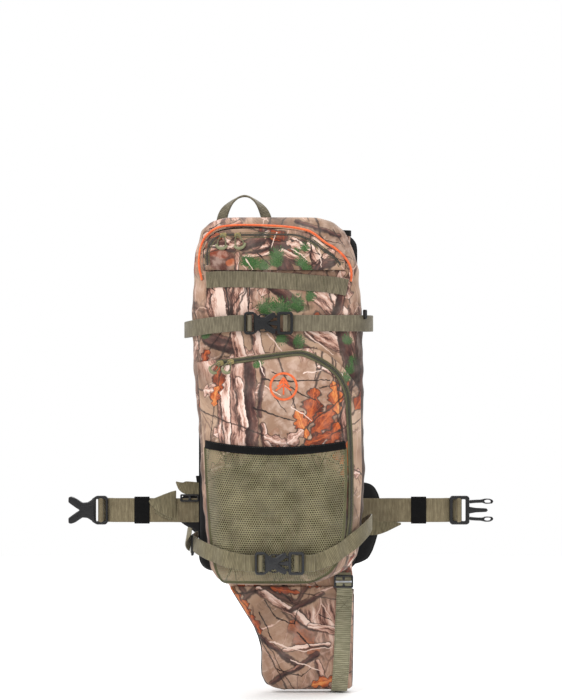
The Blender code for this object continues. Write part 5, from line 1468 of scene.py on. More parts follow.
mesh_net, MESH_P = build_mesh()
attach(mesh_net, "pack")
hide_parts("mesh_pocket")
top_edge = MESH_P[-1]
binding_route = evenly(top_edge + (0, -0.7, 4.6), 2.5)
binding = webbing("mesh_binding_band", binding_route, (0, 0.10, 1), 12.4, 2.4, ELASTIC, step=1.0, rib=0.07, pitch=2.0,
                  smooth_route=False)
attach(binding, "pack")
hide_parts("mesh_binding")
bind_thread = stitches("binding_thread", [(binding_route + (0, -1.35, -4.4), (0, -1, 0)),
                                          (binding_route + (0, -1.35, 4.6), (0, -1, 0))], THREAD_DARK, pitch=3.2, long=2.2, radius=0.26)
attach(bind_thread, "pack")
hem_parts = []
for line, w in ((MESH_P[:, 0], 5.0), (MESH_P[:, -1], 5.0), (MESH_P[0], 6.0)):
    rt = evenly(line + (0, -0.5, 0), 3.0)
    tg = tangents(rt)
    wy = np.cross(tg, (0, -1.0, 0))
    hem_parts.append(band(rt, wy, w, 1.3, step=3.0, smooth_route=False))
hem = together("mesh_hem", hem_parts, TAPE)
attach(hem, "pack")
low_front = front_of(mesh_net, binding, pocket, bag)

# ------------------------------------------------------------------ daisy webbing
def centre_y(node):
    lo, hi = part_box(node)
    return (lo.y + hi.y) / 2 / MM


DAISY = [(-110, 184), (-103, 184.5), (-98, 185), (-92, 185.5), (-80, 185.5), (-40, 185), (20, 182), (70, 178), (90, 176), (106, 173)]
all_front = front_of(flap, bag)
pts = evenly(catmull([(x, z) for x, z in DAISY], None), 6)
route = np.array([(x, min(all_front(x, z, 8), all_front(x, z + 10), all_front(x, z - 10)) - 1.6, z) for x, z in pts])
k = np.array([1, 2, 3, 2, 1.0]) / 9
route[2:-2, 1] = np.convolve(route[:, 1], k, "valid")
route[:, 1] = np.maximum(route[:, 1], -163.0)
tilt = np.array([(0.04 if 60 < x < 96 else 0.0, 0.0, 1.0) for x in route[:, 0]])
daisy = webbing("daisy_band", route, tilt, 25.0, 1.7, DAISY_WEB, rib=0.16, pitch=2.4)
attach(daisy, "pack")
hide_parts("daisy_webbing")
runs = []
for bx in (-104, -38, 30, 72, 101):
    j = int(np.argmin(np.abs(route[:, 0] - bx)))
    c = route[j] + (0, -1.15, 0)
    zig = [c + (1.0 * (-1) ** i, 0, -10.5 + 1.75 * i) for i in range(13)]
    runs.append((np.array(zig), (0, -1, 0)))
bars = stitches("daisy_bar_tacks", runs, THREAD_OLIVE, pitch=2.0, long=1.9, radius=0.34)
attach(bars, "pack")
# the fold at its right end, doubled back under a bar tack
j0 = int(np.argmin(np.abs(route[:, 0] - 76)))
endfold = webbing("daisy_end_fold", route[j0:] + (0, -1.5, -0.4), (0.02, 0, 1), 25.6, 1.5, DAISY_WEB, rib=0.16, pitch=2.4)
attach(endfold, "pack")


# ------------------------------------------------------------------ side-release buckles
def sym(points):
    return points + [(x, -z) for x, z in reversed(points) if abs(z) > 1e-6]


def scale2(points, k):
    return [(x * k, z * k) for x, z in points]


def joined(name, obs, mat):
    """Joins pieces into one mesh named name."""
    bm = bmesh.new()
    for ob in obs:
        bm.from_mesh(ob.data)
        me = ob.data
        bpy.data.objects.remove(ob)
        bpy.data.meshes.remove(me)
    me = bpy.data.meshes.new(name)
    bm.to_mesh(me)
    bm.free()
    ob = link(bpy.data.objects.new(name, me))
    me.materials.append(mat)
    me.shade_smooth()
    me.set_sharp_from_angle(angle=math.radians(35))
    return ob


def rod(a, b, r, mat, sides=12):
    v, f, _ = rope([a, b], r, 2.0, sides, through=False)
    me = bpy.data.meshes.new("rod")
    me.from_pydata((np.asarray(v) * MM).tolist(), [], f)
    me.materials.append(mat)
    return link(bpy.data.objects.new("rod", me))


def plate(name, outline, holes, half, mat, k=1.0, bevel=0.6, r=0.0, y=0.0):
    out = rounded(outline, r, 3) if r else outline
    ob = from_bm(name, plate_mesh(scale2(out, k), [scale2(h, k) for h in holes], half * k, bevel * k), mat)
    for v in ob.data.vertices:
        v.co.y += y * k * MM
    return ob


def female(name, at, y, k, mat, flip, tilt, body, replaced):
    """Socket: a frame with a bar for the webbing, and a waisted body with two horns."""
    frame_out = rounded(sym([(-39, 14.5), (-36.2, 17.5), (-25, 17.5), (-19, 13.5)]), 1.6, 3)
    window = rounded([(-35.8, -13.4), (-24.4, -13.4), (-24.4, 13.4), (-35.8, 13.4)], 1.4, 3)
    fr = plate("f", frame_out, [window], 2.9, mat, k, 1.1)
    horn = [(-24, 14.6), (-19, 12.6), (-14, 9.4), (-8, 8.9), (-4, 11.6), (1, 15.0), (6, 16.6), (9.0, 15.6), (9.2, 9.6),
            (4.6, 6.2), (0, 2.9), (-4.6, 0)]
    shell = plate("b", rounded(sym(horn), 1.2, 3), [], 4.5, mat, k, 1.3)
    slot_ = from_bm("c", box_bm((-19 * k, -2.6 * k, -13.2 * k), (14 * k, 2.6 * k, 13.2 * k)), mat)
    cut(shell, slot_)
    ridge = [plate("r", rounded(sym([(-21.5, 7.6), (-15, 5.2), (-6.8, 5.0), (-1.2, 8.6), (-3.4, 4.6), (-8.6, 0.0)]), 0.8, 2),
                   [], 0.45, mat, k, 0.4, y=sy * 4.6) for sy in (-1, 1)]
    bar = rod((-30.2 * k, 0, -13.8 * k), (-30.2 * k, 0, 13.8 * k), 1.5 * k, mat)
    parts = [fr, shell, *ridge, bar]
    for sx in (-22.6, -21.2):
        parts.append(rod((sx * k, -2.9 * k, -8 * k), (sx * k, -2.9 * k, 8 * k), 0.42 * k, mat, 8))
    ob = joined(name, parts, mat)
    place(ob, at, y, flip, tilt)
    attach(ob, body)
    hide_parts(replaced)
    return ob


def male(name, at, y, k, mat, flip, tilt, body, replaced):
    fr = plate("f", rounded(sym([(36, 14.4), (33.4, 17.5), (14, 17.5), (11.6, 15.2), (11.6, 6)]), 1.5, 3),
               [rounded([(16.4, -13.2), (31.8, -13.2), (31.8, 13.2), (16.4, 13.2)], 1.4, 3)], 2.7, mat, k, 1.0)
    guide = plate("g", rounded(sym([(13, 4.4), (4, 2.8), (-9, 2.2), (-11, 0)]), 0.6, 2), [], 1.9, mat, k, 0.7)
    bar = rod((24.4 * k, 0, -13.8 * k), (24.4 * k, 0, 13.8 * k), 1.5 * k, mat)
    lip = rod((12.6 * k, -2.5 * k, -13.5 * k), (12.6 * k, -2.5 * k, 13.5 * k), 0.6 * k, mat, 8)
    ob = joined(name, [fr, guide, bar, lip], mat)
    place(ob, at, y, flip, tilt)
    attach(ob, body)
    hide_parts(replaced)
    return ob


def prong(name, side, at, y, k, mat, flip, tilt, body, replaced):
    pts = [(11.4, 8.0), (11.4, 12.2), (4, 12.7), (-2, 12.9), (-8, 14.2), (-13, 14.0), (-16.6, 12.4), (-17.6, 10.6), (-16, 8.0),
           (-8, 7.6), (-4, 9.0), (4, 8.8)]
    hole = [(-14.6, 9.6), (-13.6, 12.2), (-10, 12.8), (-6.4, 11.9), (-7.0, 9.4), (-11, 9.0)]
    ob = plate(name, [(x, z * side) for x, z in rounded(pts, 1.0, 3)], [[(x, z * side) for x, z in rounded(hole, 0.9, 2)]], 2.1, mat, k, 0.8)
    place(ob, at, y, flip, tilt)
    ob.name = name
    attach(ob, body)
    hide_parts(replaced)
    return ob


def loop_path(at, y, k, flip, bar, end, side, gap=0.0):
    """Webbing that comes to a buckle, round its bar and back behind itself: (x, y) points.
    bar and end are x of the bar and of the buckle's outer edge, in the buckle's own frame."""
    d = 1 if end > bar else -1
    rel = [(end + 9 * d, 0.9), (end + 3 * d, 2.6), (end - 1.5 * d, 3.5), (bar + 3.6 * d, 2.2), (bar + 2.7 * d, -0.4),
           (bar + 1.4 * d, -2.5), (bar, -2.95), (bar - 1.4 * d, -2.5), (bar - 2.7 * d, -0.4), (bar - 2.2 * d, 2.4),
           (bar + 1.2 * d, 3.9), (bar + 5.0 * d, 4.6), (end, 5.4), (end + 6 * d, 4.8), (end + 16 * d, 3.2)]
    return [(at[0] + x * k * flip, y + yy * k, at[1]) for x, yy in rel]


UB, UB_Y = (-13.0, 118.0), centre_y("upper_buckle_female")
LB, LB_Y = (4.0, -247.0), centre_y("lower_buckle_female")
for tag, at, y in (("upper", UB, UB_Y), ("lower", LB, LB_Y)):
    plast = PLASTIC if tag == "upper" else GREY_PLASTIC
    female(f"{tag}_socket", at, y, 1.0, plast, 1.0, 0.0, "pack", f"{tag}_buckle_female")
    male(f"{tag}_plug", at, y, 1.0, plast, 1.0, 0.0, f"{tag}_buckle_male", f"{tag}_buckle_male")
    for side, word in ((1, "upper"), (-1, "lower")):
        prong(f"{tag}_arm_{word}", side, at, y, 1.0, plast, 1.0, 0.0, f"{tag}_prong_{word}", f"{tag}_prong_{word}")


# ------------------------------------------------------------------ compression straps
def strap_z(x, mid, left, right):
    if x < mid[0] - 45:
        t = (mid[0] - 45 - x) / (mid[0] - 45 - left[0])
        return mid[1] + (left[1] - mid[1]) * t ** 1.6
    if x > mid[0] + 45:
        t = (x - mid[0] - 45) / (right[0] - mid[0] - 45)
        return mid[1] + (right[1] - mid[1]) * t ** 1.6
    return mid[1]


def strap(name, loop, plan, mid, left, right, mat, rib=0.14):
    """A strap from its buckle loop round the bag's side. loop runs towards the bag's middle
    and back; plan is the (x, y) run outwards."""
    far = [(x, y, strap_z(x, mid, left, right)) for x, y in plan]
    pts = list(reversed(loop))
    k_turn = len(pts)
    pts += far
    pts = np.array(pts, float)
    return webbing(name, pts, (0, 0, 1), 25.0, 1.7, mat, rib=rib, pitch=2.4)


U_LEFT = [(-72, UB_Y + 1.0), (-96, -159.0), (-114, -154.5), (-130, -143), (-140, -126),
          (-144, -104), (-144, -78), (-138, -54), (-131, -36)]
U_RIGHT = [(48, UB_Y + 0.6), (80, -159.4), (104, -157), (125, -149), (140, -131),
           (146, -106), (146, -78), (140, -54), (132, -36)]
l_loop = loop_path(UB, UB_Y, 1, 1, -30.2, -39.0, -1)
r_loop = loop_path(UB, UB_Y, 1, 1, 24.4, 36.0, 1)
u_left = strap("upper_web_left", l_loop, U_LEFT, UB, (-144, 108), (146, 118), OLIVE_WEB)
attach(u_left, "pack")
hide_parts("upper_strap_left")
u_right = strap("upper_web_right", r_loop, U_RIGHT, UB, (-144, 108), (146, 118), OLIVE_WEB)
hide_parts("upper_strap_right")
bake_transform(u_right)


def strap_depth(x, ends):
    z = strap_z(x, LB, *ends)
    return max(LB_Y, low_front(x, z, 12) - 2.6)


L_ENDS = ((-131, -222), (145, -190))
L_LEFT = [(x, strap_depth(x, L_ENDS)) for x in (-56, -70, -84)] + [(-100, -164), (-114, -150), (-126, -128), (-131, -104)]
L_RIGHT = [(x, strap_depth(x, L_ENDS)) for x in (58, 74, 90)] + \
    [(106, -169), (124, -158), (138, -138), (144, -112), (145, -84), (140, -56), (131, -37)]
l_left = strap("lower_web_left", loop_path(LB, LB_Y, 1, 1, -30.2, -39.0, -1), L_LEFT, LB, *L_ENDS, KHAKI_WEB)
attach(l_left, "pack")
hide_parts("lower_strap_left")
l_right = strap("lower_web_right", loop_path(LB, LB_Y, 1, 1, 24.4, 36.0, 1), L_RIGHT, LB, *L_ENDS, KHAKI_WEB)
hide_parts("lower_strap_right")
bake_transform(l_right)


def ladder(name, w, h, half, mat, k=1.0):
    """A ladder lock lying in the XZ plane: w along the webbing, h across, with a raised
    lifting lip at one end and a knurled middle bar."""
    o = rounded([(-w / 2, -h / 2), (w / 2, -h / 2), (w / 2, h / 2), (-w / 2, h / 2)], 2.6, 4)
    rim, mid = 2.8, 1.8
    holes = [rounded([(-w / 2 + rim, -h / 2 + rim), (-mid, -h / 2 + rim), (-mid, h / 2 - rim), (-w / 2 + rim, h / 2 - rim)], 0.8, 2),
             rounded([(mid, -h / 2 + rim), (w / 2 - rim, -h / 2 + rim), (w / 2 - rim, h / 2 - rim), (mid, h / 2 - rim)], 0.8, 2)]
    base = plate("l", o, holes, half, mat, 1.0, 0.7)
    parts = [base]
    lip = rod((w / 2 - 1.6, -half * 0.7, -h / 2 + 3), (w / 2 - 1.6, -half * 0.7, h / 2 - 3), 1.5, mat)
    parts.append(lip)
    for i in range(9):
        z = -h / 2 + rim + 1.5 + i * (h - 2 * rim - 3) / 8
        parts.append(rod((-1.5, -half, z), (1.5, -half, z), 0.45, mat, 6))
    return joined(name, parts, mat)


def turn_mesh(ob, rx=0.0, ry=0.0, rz=0.0, at=(0, 0, 0)):
    from mathutils import Euler, Matrix
    m = Matrix.Translation(Vector(at) * MM) @ Euler((rx, ry, rz)).to_matrix().to_4x4()
    ob.data.transform(m)
    return ob


def copy_box(ob, node, body):
    """Moves a piece's middle to its CAD node's middle."""
    lo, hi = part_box(node)
    c = (lo + hi) / 2
    co = np.array([v.co for v in ob.data.vertices])
    d = c - Vector((co.min(0) + co.max(0)) / 2)
    for v in ob.data.vertices:
        v.co += d
    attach(ob, body)
    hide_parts(node)
    return ob


# left side adjuster of the lower strap, facing sideways
side_lock = turn_mesh(ladder("side_ladder", 30, 32, 1.8, PLASTIC), rz=math.pi / 2)
copy_box(side_lock, "lower_ladder_lock", "pack")
tail = webbing("lower_tail_left", [(-133.2, -97, -226), (-134.6, -92, -226), (-135.4, -86, -226), (-134.6, -78, -225), (-132.5, -66, -223),
                                   (-130, -50, -221), (-126, -36, -220)], (0, 0, 1), 25.0, 1.5, KHAKI_WEB, rib=0.14)
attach(tail, "pack")
tail2 = webbing("lower_tail_end", [(-136.0, -86, -224), (-139.6, -96, -219), (-141.0, -112, -212), (-139.0, -128, -206), (-133, -142, -201)],
                [(0, 0, 1), (0.1, 0, 1), (0.15, 0.0, 1), (0.2, 0, 1), (0.2, 0, 1)], [25, 25, 25, 22, 9], 1.5, KHAKI_WEB, rib=0.14)
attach(tail2, "pack")
mini = turn_mesh(ladder("upper_small_lock", 9, 15, 1.6, PLASTIC), rz=-1.1, at=(133.5, -146.0, 131.5))
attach(mini, "pack")

# ------------------------------------------------------------------ sliders and pulls


def slider_piece(name, node, body, slope):
    """Zip slider: a waisted top plate, a bottom plate and a bridge for the pull."""
    lo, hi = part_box(node)
    c = ((lo + hi) / 2) / MM
    prof = sym([(5.0, 1.8), (3.6, 3.6), (0.0, 4.2), (-3.4, 3.0), (-5.0, 2.4)])
    top = plate("a", rounded(prof, 1.0, 3), [], 0.75, BRASS, 1.0, 0.5, y=-0.9)
    low = plate("b", rounded(prof, 1.0, 3), [], 0.6, BRASS, 1.0, 0.4, y=0.9)
    post = rod((0.6, -0.9, 0), (0.6, 0.9, 0), 1.0, BRASS, 8)
    bridge = [(-3.2, -1.3, 0), (-3.2, -2.7, 0), (-1.8, -3.6, 0), (0.8, -3.6, 0), (2.2, -2.7, 0), (2.4, -1.3, 0)]
    v, f, _ = rope(bridge, 0.75, 0.6, 8)
    me = bpy.data.meshes.new("d")
    me.from_pydata((np.asarray(v) * MM).tolist(), [], f)
    br = link(bpy.data.objects.new("d", me))
    ob = joined(name, [top, low, post, br], BRASS)
    place(ob, (c.x, c.z), c.y, 1.0, slope)
    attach(ob, body)
    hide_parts(node)
    return c


def pull_piece(name, node, body, hook, splay, hang, out, size=1.0):
    """Cord loop through the slider's bridge with a moulded crescent grip at its foot."""
    h = np.array(hook, float)
    d = unit(np.array((math.sin(splay), out, -math.cos(splay))))
    w = unit(np.cross(d, (0, -1, 0)))
    L = hang
    left = [h + w * 0.9 + d * 0.4, h + w * 3.4 * size + d * L * 0.30, h + w * 5.0 * size + d * L * 0.62, h + w * 4.4 * size + d * L * 0.86]
    right = [h - w * 0.9 + d * 0.4, h - w * 3.4 * size + d * L * 0.30, h - w * 5.0 * size + d * L * 0.62, h - w * 4.4 * size + d * L * 0.86]
    path = left[::-1] + [h + d * -0.8] + right
    parts = [rope(np.array(path), 1.05, 0.9, 10)]
    cord = together(name, parts, PULL_CORD)
    base = h + d * L
    arc = []
    for q in np.linspace(-1.25, 1.25, 9):
        arc.append(base + w * 7.4 * size * math.sin(q) - d * (7.0 * size * math.cos(q) - 6.2 * size) * 1.0 * -1)
    arc = np.array(arc)
    grip = rope(arc, [1.4, 2.0, 2.4, 2.5, 2.4, 2.0, 1.4], 0.9, 12, f"{name}_grip", GRIP)
    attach(cord, body)
    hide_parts(node)
    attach(grip, body)
    return cord


FZ_SLOPE = math.atan2(71.0 - 56.0, 114.0)
for tag, splay in (("a", -0.10), ("b", 0.28)):
    c = slider_piece(f"top_zip_slider_{tag}", f"top_slider_{tag}", f"top_slider_{tag}", 0.0)
    lo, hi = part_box(f"top_pull_{tag}")
    pull_piece(f"top_zip_pull_{tag}", f"top_pull_{tag}", f"top_pull_{tag}", (c.x - 1.0, c.y - 3.4, c.z + 0.6), splay, 21.0, -0.26, 1.25)
for tag, splay in (("a", -0.75), ("b", -0.45)):
    c = slider_piece(f"front_zip_slider_{tag}", f"front_slider_{tag}", f"front_slider_{tag}", FZ_SLOPE)
    pull_piece(f"front_zip_pull_{tag}", f"front_pull_{tag}", f"front_pull_{tag}", (c.x - 1.0, c.y - 3.4, c.z + 0.6), splay, 19.0, -0.42)

# ------------------------------------------------------------------ emblem: a plain ring with a fir tree
ring_c = (8.5, 21.5)


def on_pocket(points, out=0.35):
    return [(x, pocket_front(x, z) - out, z) for x, z in points]


ring = evenly([(ring_c[0] + 20 * math.cos(a), ring_c[1] + 20 * math.sin(a)) for a in np.linspace(0, 2 * math.pi, 61)], 2.0)
em = [band(np.array(on_pocket(ring)), unit(np.column_stack([ring[:, 0] - ring_c[0], np.zeros(len(ring)), ring[:, 1] - ring_c[1]])),
           3.4, 0.7, step=2.0, smooth_route=False)]
tiers = [(13.5, 6.5, 4.5), (8.0, 9.5, -0.5), (2.5, 12.0, -6.5)]
for top, half_w, low in tiers:
    p = [(0, top), (half_w * 0.5, low + 1.5), (half_w * 0.42, low), (-half_w * 0.42, low), (-half_w * 0.5, low + 1.5)]
    for s in (-1, 1):
        leg = [(ring_c[0], ring_c[1] + top), (ring_c[0] + s * half_w * 0.55, ring_c[1] + (top + low) / 2 - 0.5), (ring_c[0] + s * half_w, ring_c[1] + low)]
        rt = np.array(on_pocket(evenly(leg, 1.6), 0.45))
        em.append(band(rt, (0, 0, 1), 2.6, 0.7, step=1.6, smooth_route=False))
trunk = np.array(on_pocket(evenly([(ring_c[0], ring_c[1] + 12), (ring_c[0], ring_c[1] - 12.5)], 1.6), 0.45))
em.append(band(trunk, (1, 0, 0), 2.4, 0.7, step=1.6, smooth_route=False))
emblem = together("tree_emblem", em, ORANGE)
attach(emblem, "pack")


# ------------------------------------------------------------------ padded shapes
def tab(rows):
    a = np.array(rows, float)
    return lambda z: float(np.interp(z, a[:, 0], a[:, 1]))


def sealed(ob):
    bm = bmesh.new()
    bm.from_mesh(ob.data)
    bmesh.ops.recalc_face_normals(bm, faces=bm.faces)
    bm.to_mesh(ob.data)
    bm.free()
    return ob


def pillow(name, zs, left, right, y_mid, front, back, mat, edge=10.0, cols=33, relief=None, seam=0.7, lumps=0.35):
    """A crowned closed form. left and right give its sides at a height; front and back say
    how far it swells from its seam plane y_mid, and relief how deep a sewn channel sinks."""
    zs = np.asarray(zs, float)
    z0, z1 = zs.min(), zs.max()
    us = np.sin(np.linspace(-math.pi / 2, math.pi / 2, cols))
    P, UV = [], []
    for z in zs:
        a, b = left(z), right(z)
        x = (a + b) / 2 + us * (b - a) / 2
        dx = np.clip(np.minimum(x - a, b - x) / edge, 0, 1)
        dz = np.clip(min(z - z0, z1 - z) / edge, 0, 1)
        t = np.sqrt(1 - (1 - dx) ** 2) * math.sqrt(max(0.0, 1 - (1 - dz) ** 2))
        n = smooth_noise(np.column_stack([x, np.full(cols, 3.0), np.full(cols, z)]), 30, 2.2) * lumps * t
        g = relief(x, z) * t if relief else 0.0
        f = y_mid - (seam + (front - seam) * t) + n * (0.4 if front > 3 else 0.0)
        k = y_mid + (seam + (back - seam) * t) - np.maximum(n + g, 0.0)
        P.append(np.vstack([np.column_stack([x, f, np.full(cols, z)]), np.column_stack([x, k, np.full(cols, z)])[::-1]]))
        u = np.concatenate([x, x[::-1], x[:1]])
        UV.append(np.column_stack([u, np.full(2 * cols + 1, z)]) * MM)
    return sealed(lattice(name, np.array(P), mat, np.array(UV), wrap=True, ends=True))


def soft_rows(z0, z1, step, edge):
    """Heights with close rows at both ends."""
    near = edge * (1 - np.cos(np.linspace(0, math.pi / 2, 6)))
    return np.unique(np.round(np.concatenate([z0 + near, np.arange(z0 + edge, z1 - edge, step), z1 - near]), 3))


def box_sides(x0, x1, z0, z1, r):
    """Left and right sides of a rectangle with round corners."""
    def shy(z):
        d = min(z - z0, z1 - z)
        return 0.0 if d >= r else r - math.sqrt(max(0.0, r * r - (r - max(d, 0.0)) ** 2))
    return (lambda z: x0 + shy(z)), (lambda z: x1 - shy(z))


def outline_of(left, right, zs):
    """A closed route round a shape, from its sides."""
    pts = [(left(z), z) for z in zs] + [(right(z), z) for z in zs[::-1]]
    return np.array(pts + pts[:1])


def groove(d, wide, deep):
    return deep * np.exp(-(d / wide) ** 2)


# ------------------------------------------------------------------ back panel and its pads
PL, PR = box_sides(-124, 124, -270, 258, 22)
prow = soft_rows(-270, 258, 7, 6)


def panel_relief(x, z):
    g = groove(np.abs(x) - 106.0, 2.2, 1.5)
    for zz in (-76, 75, 248):
        g = np.maximum(g, groove(np.full_like(x, z - zz), 2.4, 1.5))
    return g


panel = pillow("panel_shell", prow, PL, PR, -25.0, 8.9, 8.7, BLACK_CLOTH, 6.0, 45, panel_relief, lumps=0.25)
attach(panel, "pack")
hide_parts("back_panel")
edge_line = outline_of(PL, PR, list(soft_rows(-270, 258, 10, 22)))
edge_route = evenly(edge_line, 5)
trim = webbing("panel_edge_tape", np.column_stack([edge_route[:, 0], np.full(len(edge_route), -24.4), edge_route[:, 1]]),
               (0, 1, 0), 12.0, 1.2, ELASTIC, rib=0.2, pitch=2.0, smooth_route=False)
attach(trim, "pack")
runs = []
for sx in (-1, 1):
    runs.append((np.array([(sx * 106, -17.9, z) for z in np.arange(-250, 240, 4.0)]), (0, 1, 0)))
seams = stitches("panel_stitching", runs, THREAD_DARK, pitch=4.2, long=2.9, radius=0.32)
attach(seams, "pack")
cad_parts["frame_sheet"].data.materials.clear()
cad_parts["frame_sheet"].data.materials.append(plastic_mat("sheet_black", srgb(26, 26, 28), 0.5, 0.08))


def back_pad(name, node, half, z0, z1, channels, cross=(), r=20.0):
    a, b = box_sides(-half, half, z0, z1, r)

    def relief(x, z):
        g = np.zeros_like(x)
        for c in channels:
            g = np.maximum(g, groove(np.abs(x) - c, 3.2, 6.2))
        for c in cross:
            g = np.maximum(g, groove(np.full_like(x, z - c), 3.2, 6.2))
        return g

    zs = soft_rows(z0, z1, 3.0, 14)
    ob = pillow(name, zs, a, b, -12.0, 3.5, 11.8, SPACER, 14.0, 61, relief, seam=0.8, lumps=0.6)
    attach(ob, "pack")
    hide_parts(node)
    line = evenly(outline_of(a, b, list(soft_rows(z0, z1, 8, r))), 4)
    cord = rope(np.column_stack([line[:, 0], np.full(len(line), -12.4), line[:, 1]]), 1.5, 2.5, 8, f"{name}_piping", BLACK_CLOTH,
                through=False)
    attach(cord, "pack")
    return ob


back_pad("upper_cushion", "back_pad_upper", 94, 79, 239, (30,), (159,))
back_pad("middle_cushion", "back_pad_middle", 94, -71, 71, (30,), (0,))
back_pad("lumbar_cushion", "lumbar_pad", 83, -249, -81, (0.0,), (-140, -195))


# ------------------------------------------------------------------ rifle sleeve
def tube_ring(a, b, y0, y1, r, n=84):
    """n points round a flat tube's section, from its rear middle."""
    ring = np.array(rounded([(a, y1), (a, y0), (b, y0), (b, y1)], r, 7))
    start = np.array([[(a + b) / 2, y1]])
    ring = np.vstack([start, ring, start])
    at = lengths(ring)
    s = np.linspace(0, at[-1], n + 1)
    return np.stack([np.interp(s, at, ring[:, k]) for k in (0, 1)], 1)


SLEEVE_A = tab([(-294, -75), (-283, -82), (-262, -98), (-230, -104), (-200, -107), (262, -108)])
SLEEVE_B = tab([(-294, 118), (-283, 118), (-262, 117), (-200, 115), (262, 114)])
zs = np.unique(np.concatenate([np.linspace(-293.5, -262, 9), np.arange(-256, 262, 7.5), [262.0]]))
P, UV = [], []
for z in zs:
    ring = tube_ring(SLEEVE_A(z), SLEEVE_B(z), -84.9, -36.0, 17)
    xyz = np.column_stack([ring[:, 0], ring[:, 1], np.full(len(ring), z)])
    h = smooth_noise(xyz, 34, 8.8) * 1.1
    c = np.array([(SLEEVE_A(z) + SLEEVE_B(z)) / 2, -60.4])
    pull = 1 - np.clip(h + 1.1, 0, 2.2)[:, None] / 90.0
    ring = c + (ring - c) * pull
    ring[-1] = ring[0]
    P.append(np.column_stack([ring[:-1], np.full(len(ring) - 1, z)]))
    s = lengths(ring)
    UV.append(np.column_stack([s - s[len(s) // 2], np.full(len(s), z)]) * MM)
sleeve = lattice("sleeve_tube", np.array(P), [CAMO_SIDE, LINING], np.array(UV), wrap=True)
sealed(sleeve)
wall = thicken(sleeve, 1.8, -1.0, lining=True)
wall.use_even_offset = False
apply_all(sleeve)
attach(sleeve, "pack")
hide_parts("rifle_sleeve")
ring = P[-1][:, :2]
hem = webbing("sleeve_hem_top", np.column_stack([np.vstack([ring, ring[:1]]), np.full(len(ring) + 1, 259.0)]), (0, 0, 1), 9.0, 2.6, BLACK_WEB,
              rib=0.12, smooth_route=False)
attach(hem, "pack")

# ------------------------------------------------------------------ rifle boot
BOOT_A = tab([(-452, 2), (-449, -9), (-446, -15), (-440, -21), (-430, -25.5), (-418, -26.5), (-406, -26), (-394, -26), (-384, -27.5),
              (-370, -31.5), (-354, -38), (-325, -56), (-296, -74)])
BOOT_B = tab([(-452, 112), (-448, 115.4), (-440, 116.3), (-400, 117.3), (-296, 119)])
BOOT_H = tab([(-451, 14), (-447, 18.6), (-443, 20.8), (-434, 22.6), (-425, 23.6), (-400, 24.4), (-297, 24.4)])


def boot_folds(x, z):
    h = fold(x, z, -40, -318, 20, -352, 9, 1.5) + fold(x, z, 60, -306, 86, -346, 8, 1.4)
    h += fold(x, z, -8, -372, 42, -398, 8, 1.3) - fold(x, z, 10, -330, 60, -392, 10, 1.5)
    h += fold(x, z, 70, -430, 20, -412, 7, 1.1) - fold(x, z, 78, -372, 92, -436, 7, 1.2)
    h += fold(x, z, -22, -436, 10, -446, 5, 0.9) + fold(x, z, 30, -300, 10, -322, 7, 1.1)
    return h


zs = np.unique(np.round(np.concatenate([[-451.2, -450.2, -449, -447.5, -446, -444, -441.5], np.arange(-438, -300, 4.2), [-300, -297.2]]), 2))
P, UV = [], []
for z in zs:
    a, b, h = BOOT_A(z), BOOT_B(z), BOOT_H(z)
    ring = tube_ring(a, b, -60.5 - h, -60.5 + h, min(h * 0.8, 17))
    m = len(ring) - 1
    x, y = ring[:, 0], ring[:, 1]
    ends = min(1.0, (z + 452) / 14, (-296 - z) / 12 + 0.1)
    bump = smooth_noise(np.column_stack([x, y, np.full(m + 1, z)]), 30, 6.6) * 1.2
    bump += np.where(y < -60, boot_folds(x, np.full(m + 1, z)), 0.0)
    near = np.exp(-((x - 99.0) / 16) ** 2)                 # it lies flat under its webbing
    bump = np.minimum(bump * (1 - near) - 1.3, 0.35) * max(ends, 0.0)
    c = np.array([(a + b) / 2, -60.5])
    away = unit(np.column_stack([(x - c[0]) * 0.25, y - c[1]]))
    ring = ring + away * bump[:, None]
    ring[-1] = ring[0]
    P.append(np.column_stack([ring[:-1], np.full(m, z)]))
    s = lengths(ring)
    mid = m // 2
    UV.append(np.column_stack([-(s - s[mid]) * -1 + x[mid], np.full(m + 1, z)]) * MM)
base, uv0 = P[0], UV[0]
c = base.mean(0)
rows, uvs = [], []
for k, drop in ((0.9, 0.9), (0.7, 1.3), (0.35, 1.4), (0.08, 1.4)):
    row = c + (base - c) * k
    row[:, 2] = base[:, 2] - drop * 0.6
    rows.append(row)
    u2 = uv0.copy()
    u2[:, 0] = np.append(row[:, 0], row[0, 0]) * MM
    u2[:, 1] = (np.append(row[:, 1], row[0, 1]) - 380) * MM
    uvs.append(u2)
sign = 1.0 if P[5][len(P[5]) // 4][0] > P[5][3 * len(P[5]) // 4][0] else -1.0
boot = lattice("boot_shell", np.array(rows[::-1] + P), [CAMO_BOOT, LINING], np.array(uvs[::-1] + UV), wrap=True)
verts, faces = boot.data.vertices, boot.data.polygons
bm = bmesh.new()
bm.from_mesh(boot.data)
layer = bm.loops.layers.uv.active
low = [e for e in bm.edges if e.is_boundary and e.verts[0].co.z < -0.44]
bmesh.ops.contextual_create(bm, geom=low)
bmesh.ops.recalc_face_normals(bm, faces=bm.faces)
for f in bm.faces:                                     # the front print reads in x and z
    if all(v.co.y < -0.0605 for v in f.verts):
        for loop in f.loops:
            loop[layer].uv = (loop.vert.co.x, loop.vert.co.z)
bm.to_mesh(boot.data)
bm.free()
wall = thicken(boot, 1.6, -1.0, lining=True)
wall.use_even_offset = False
apply_all(boot)
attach(boot, "rifle_boot")
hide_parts("rifle_boot")
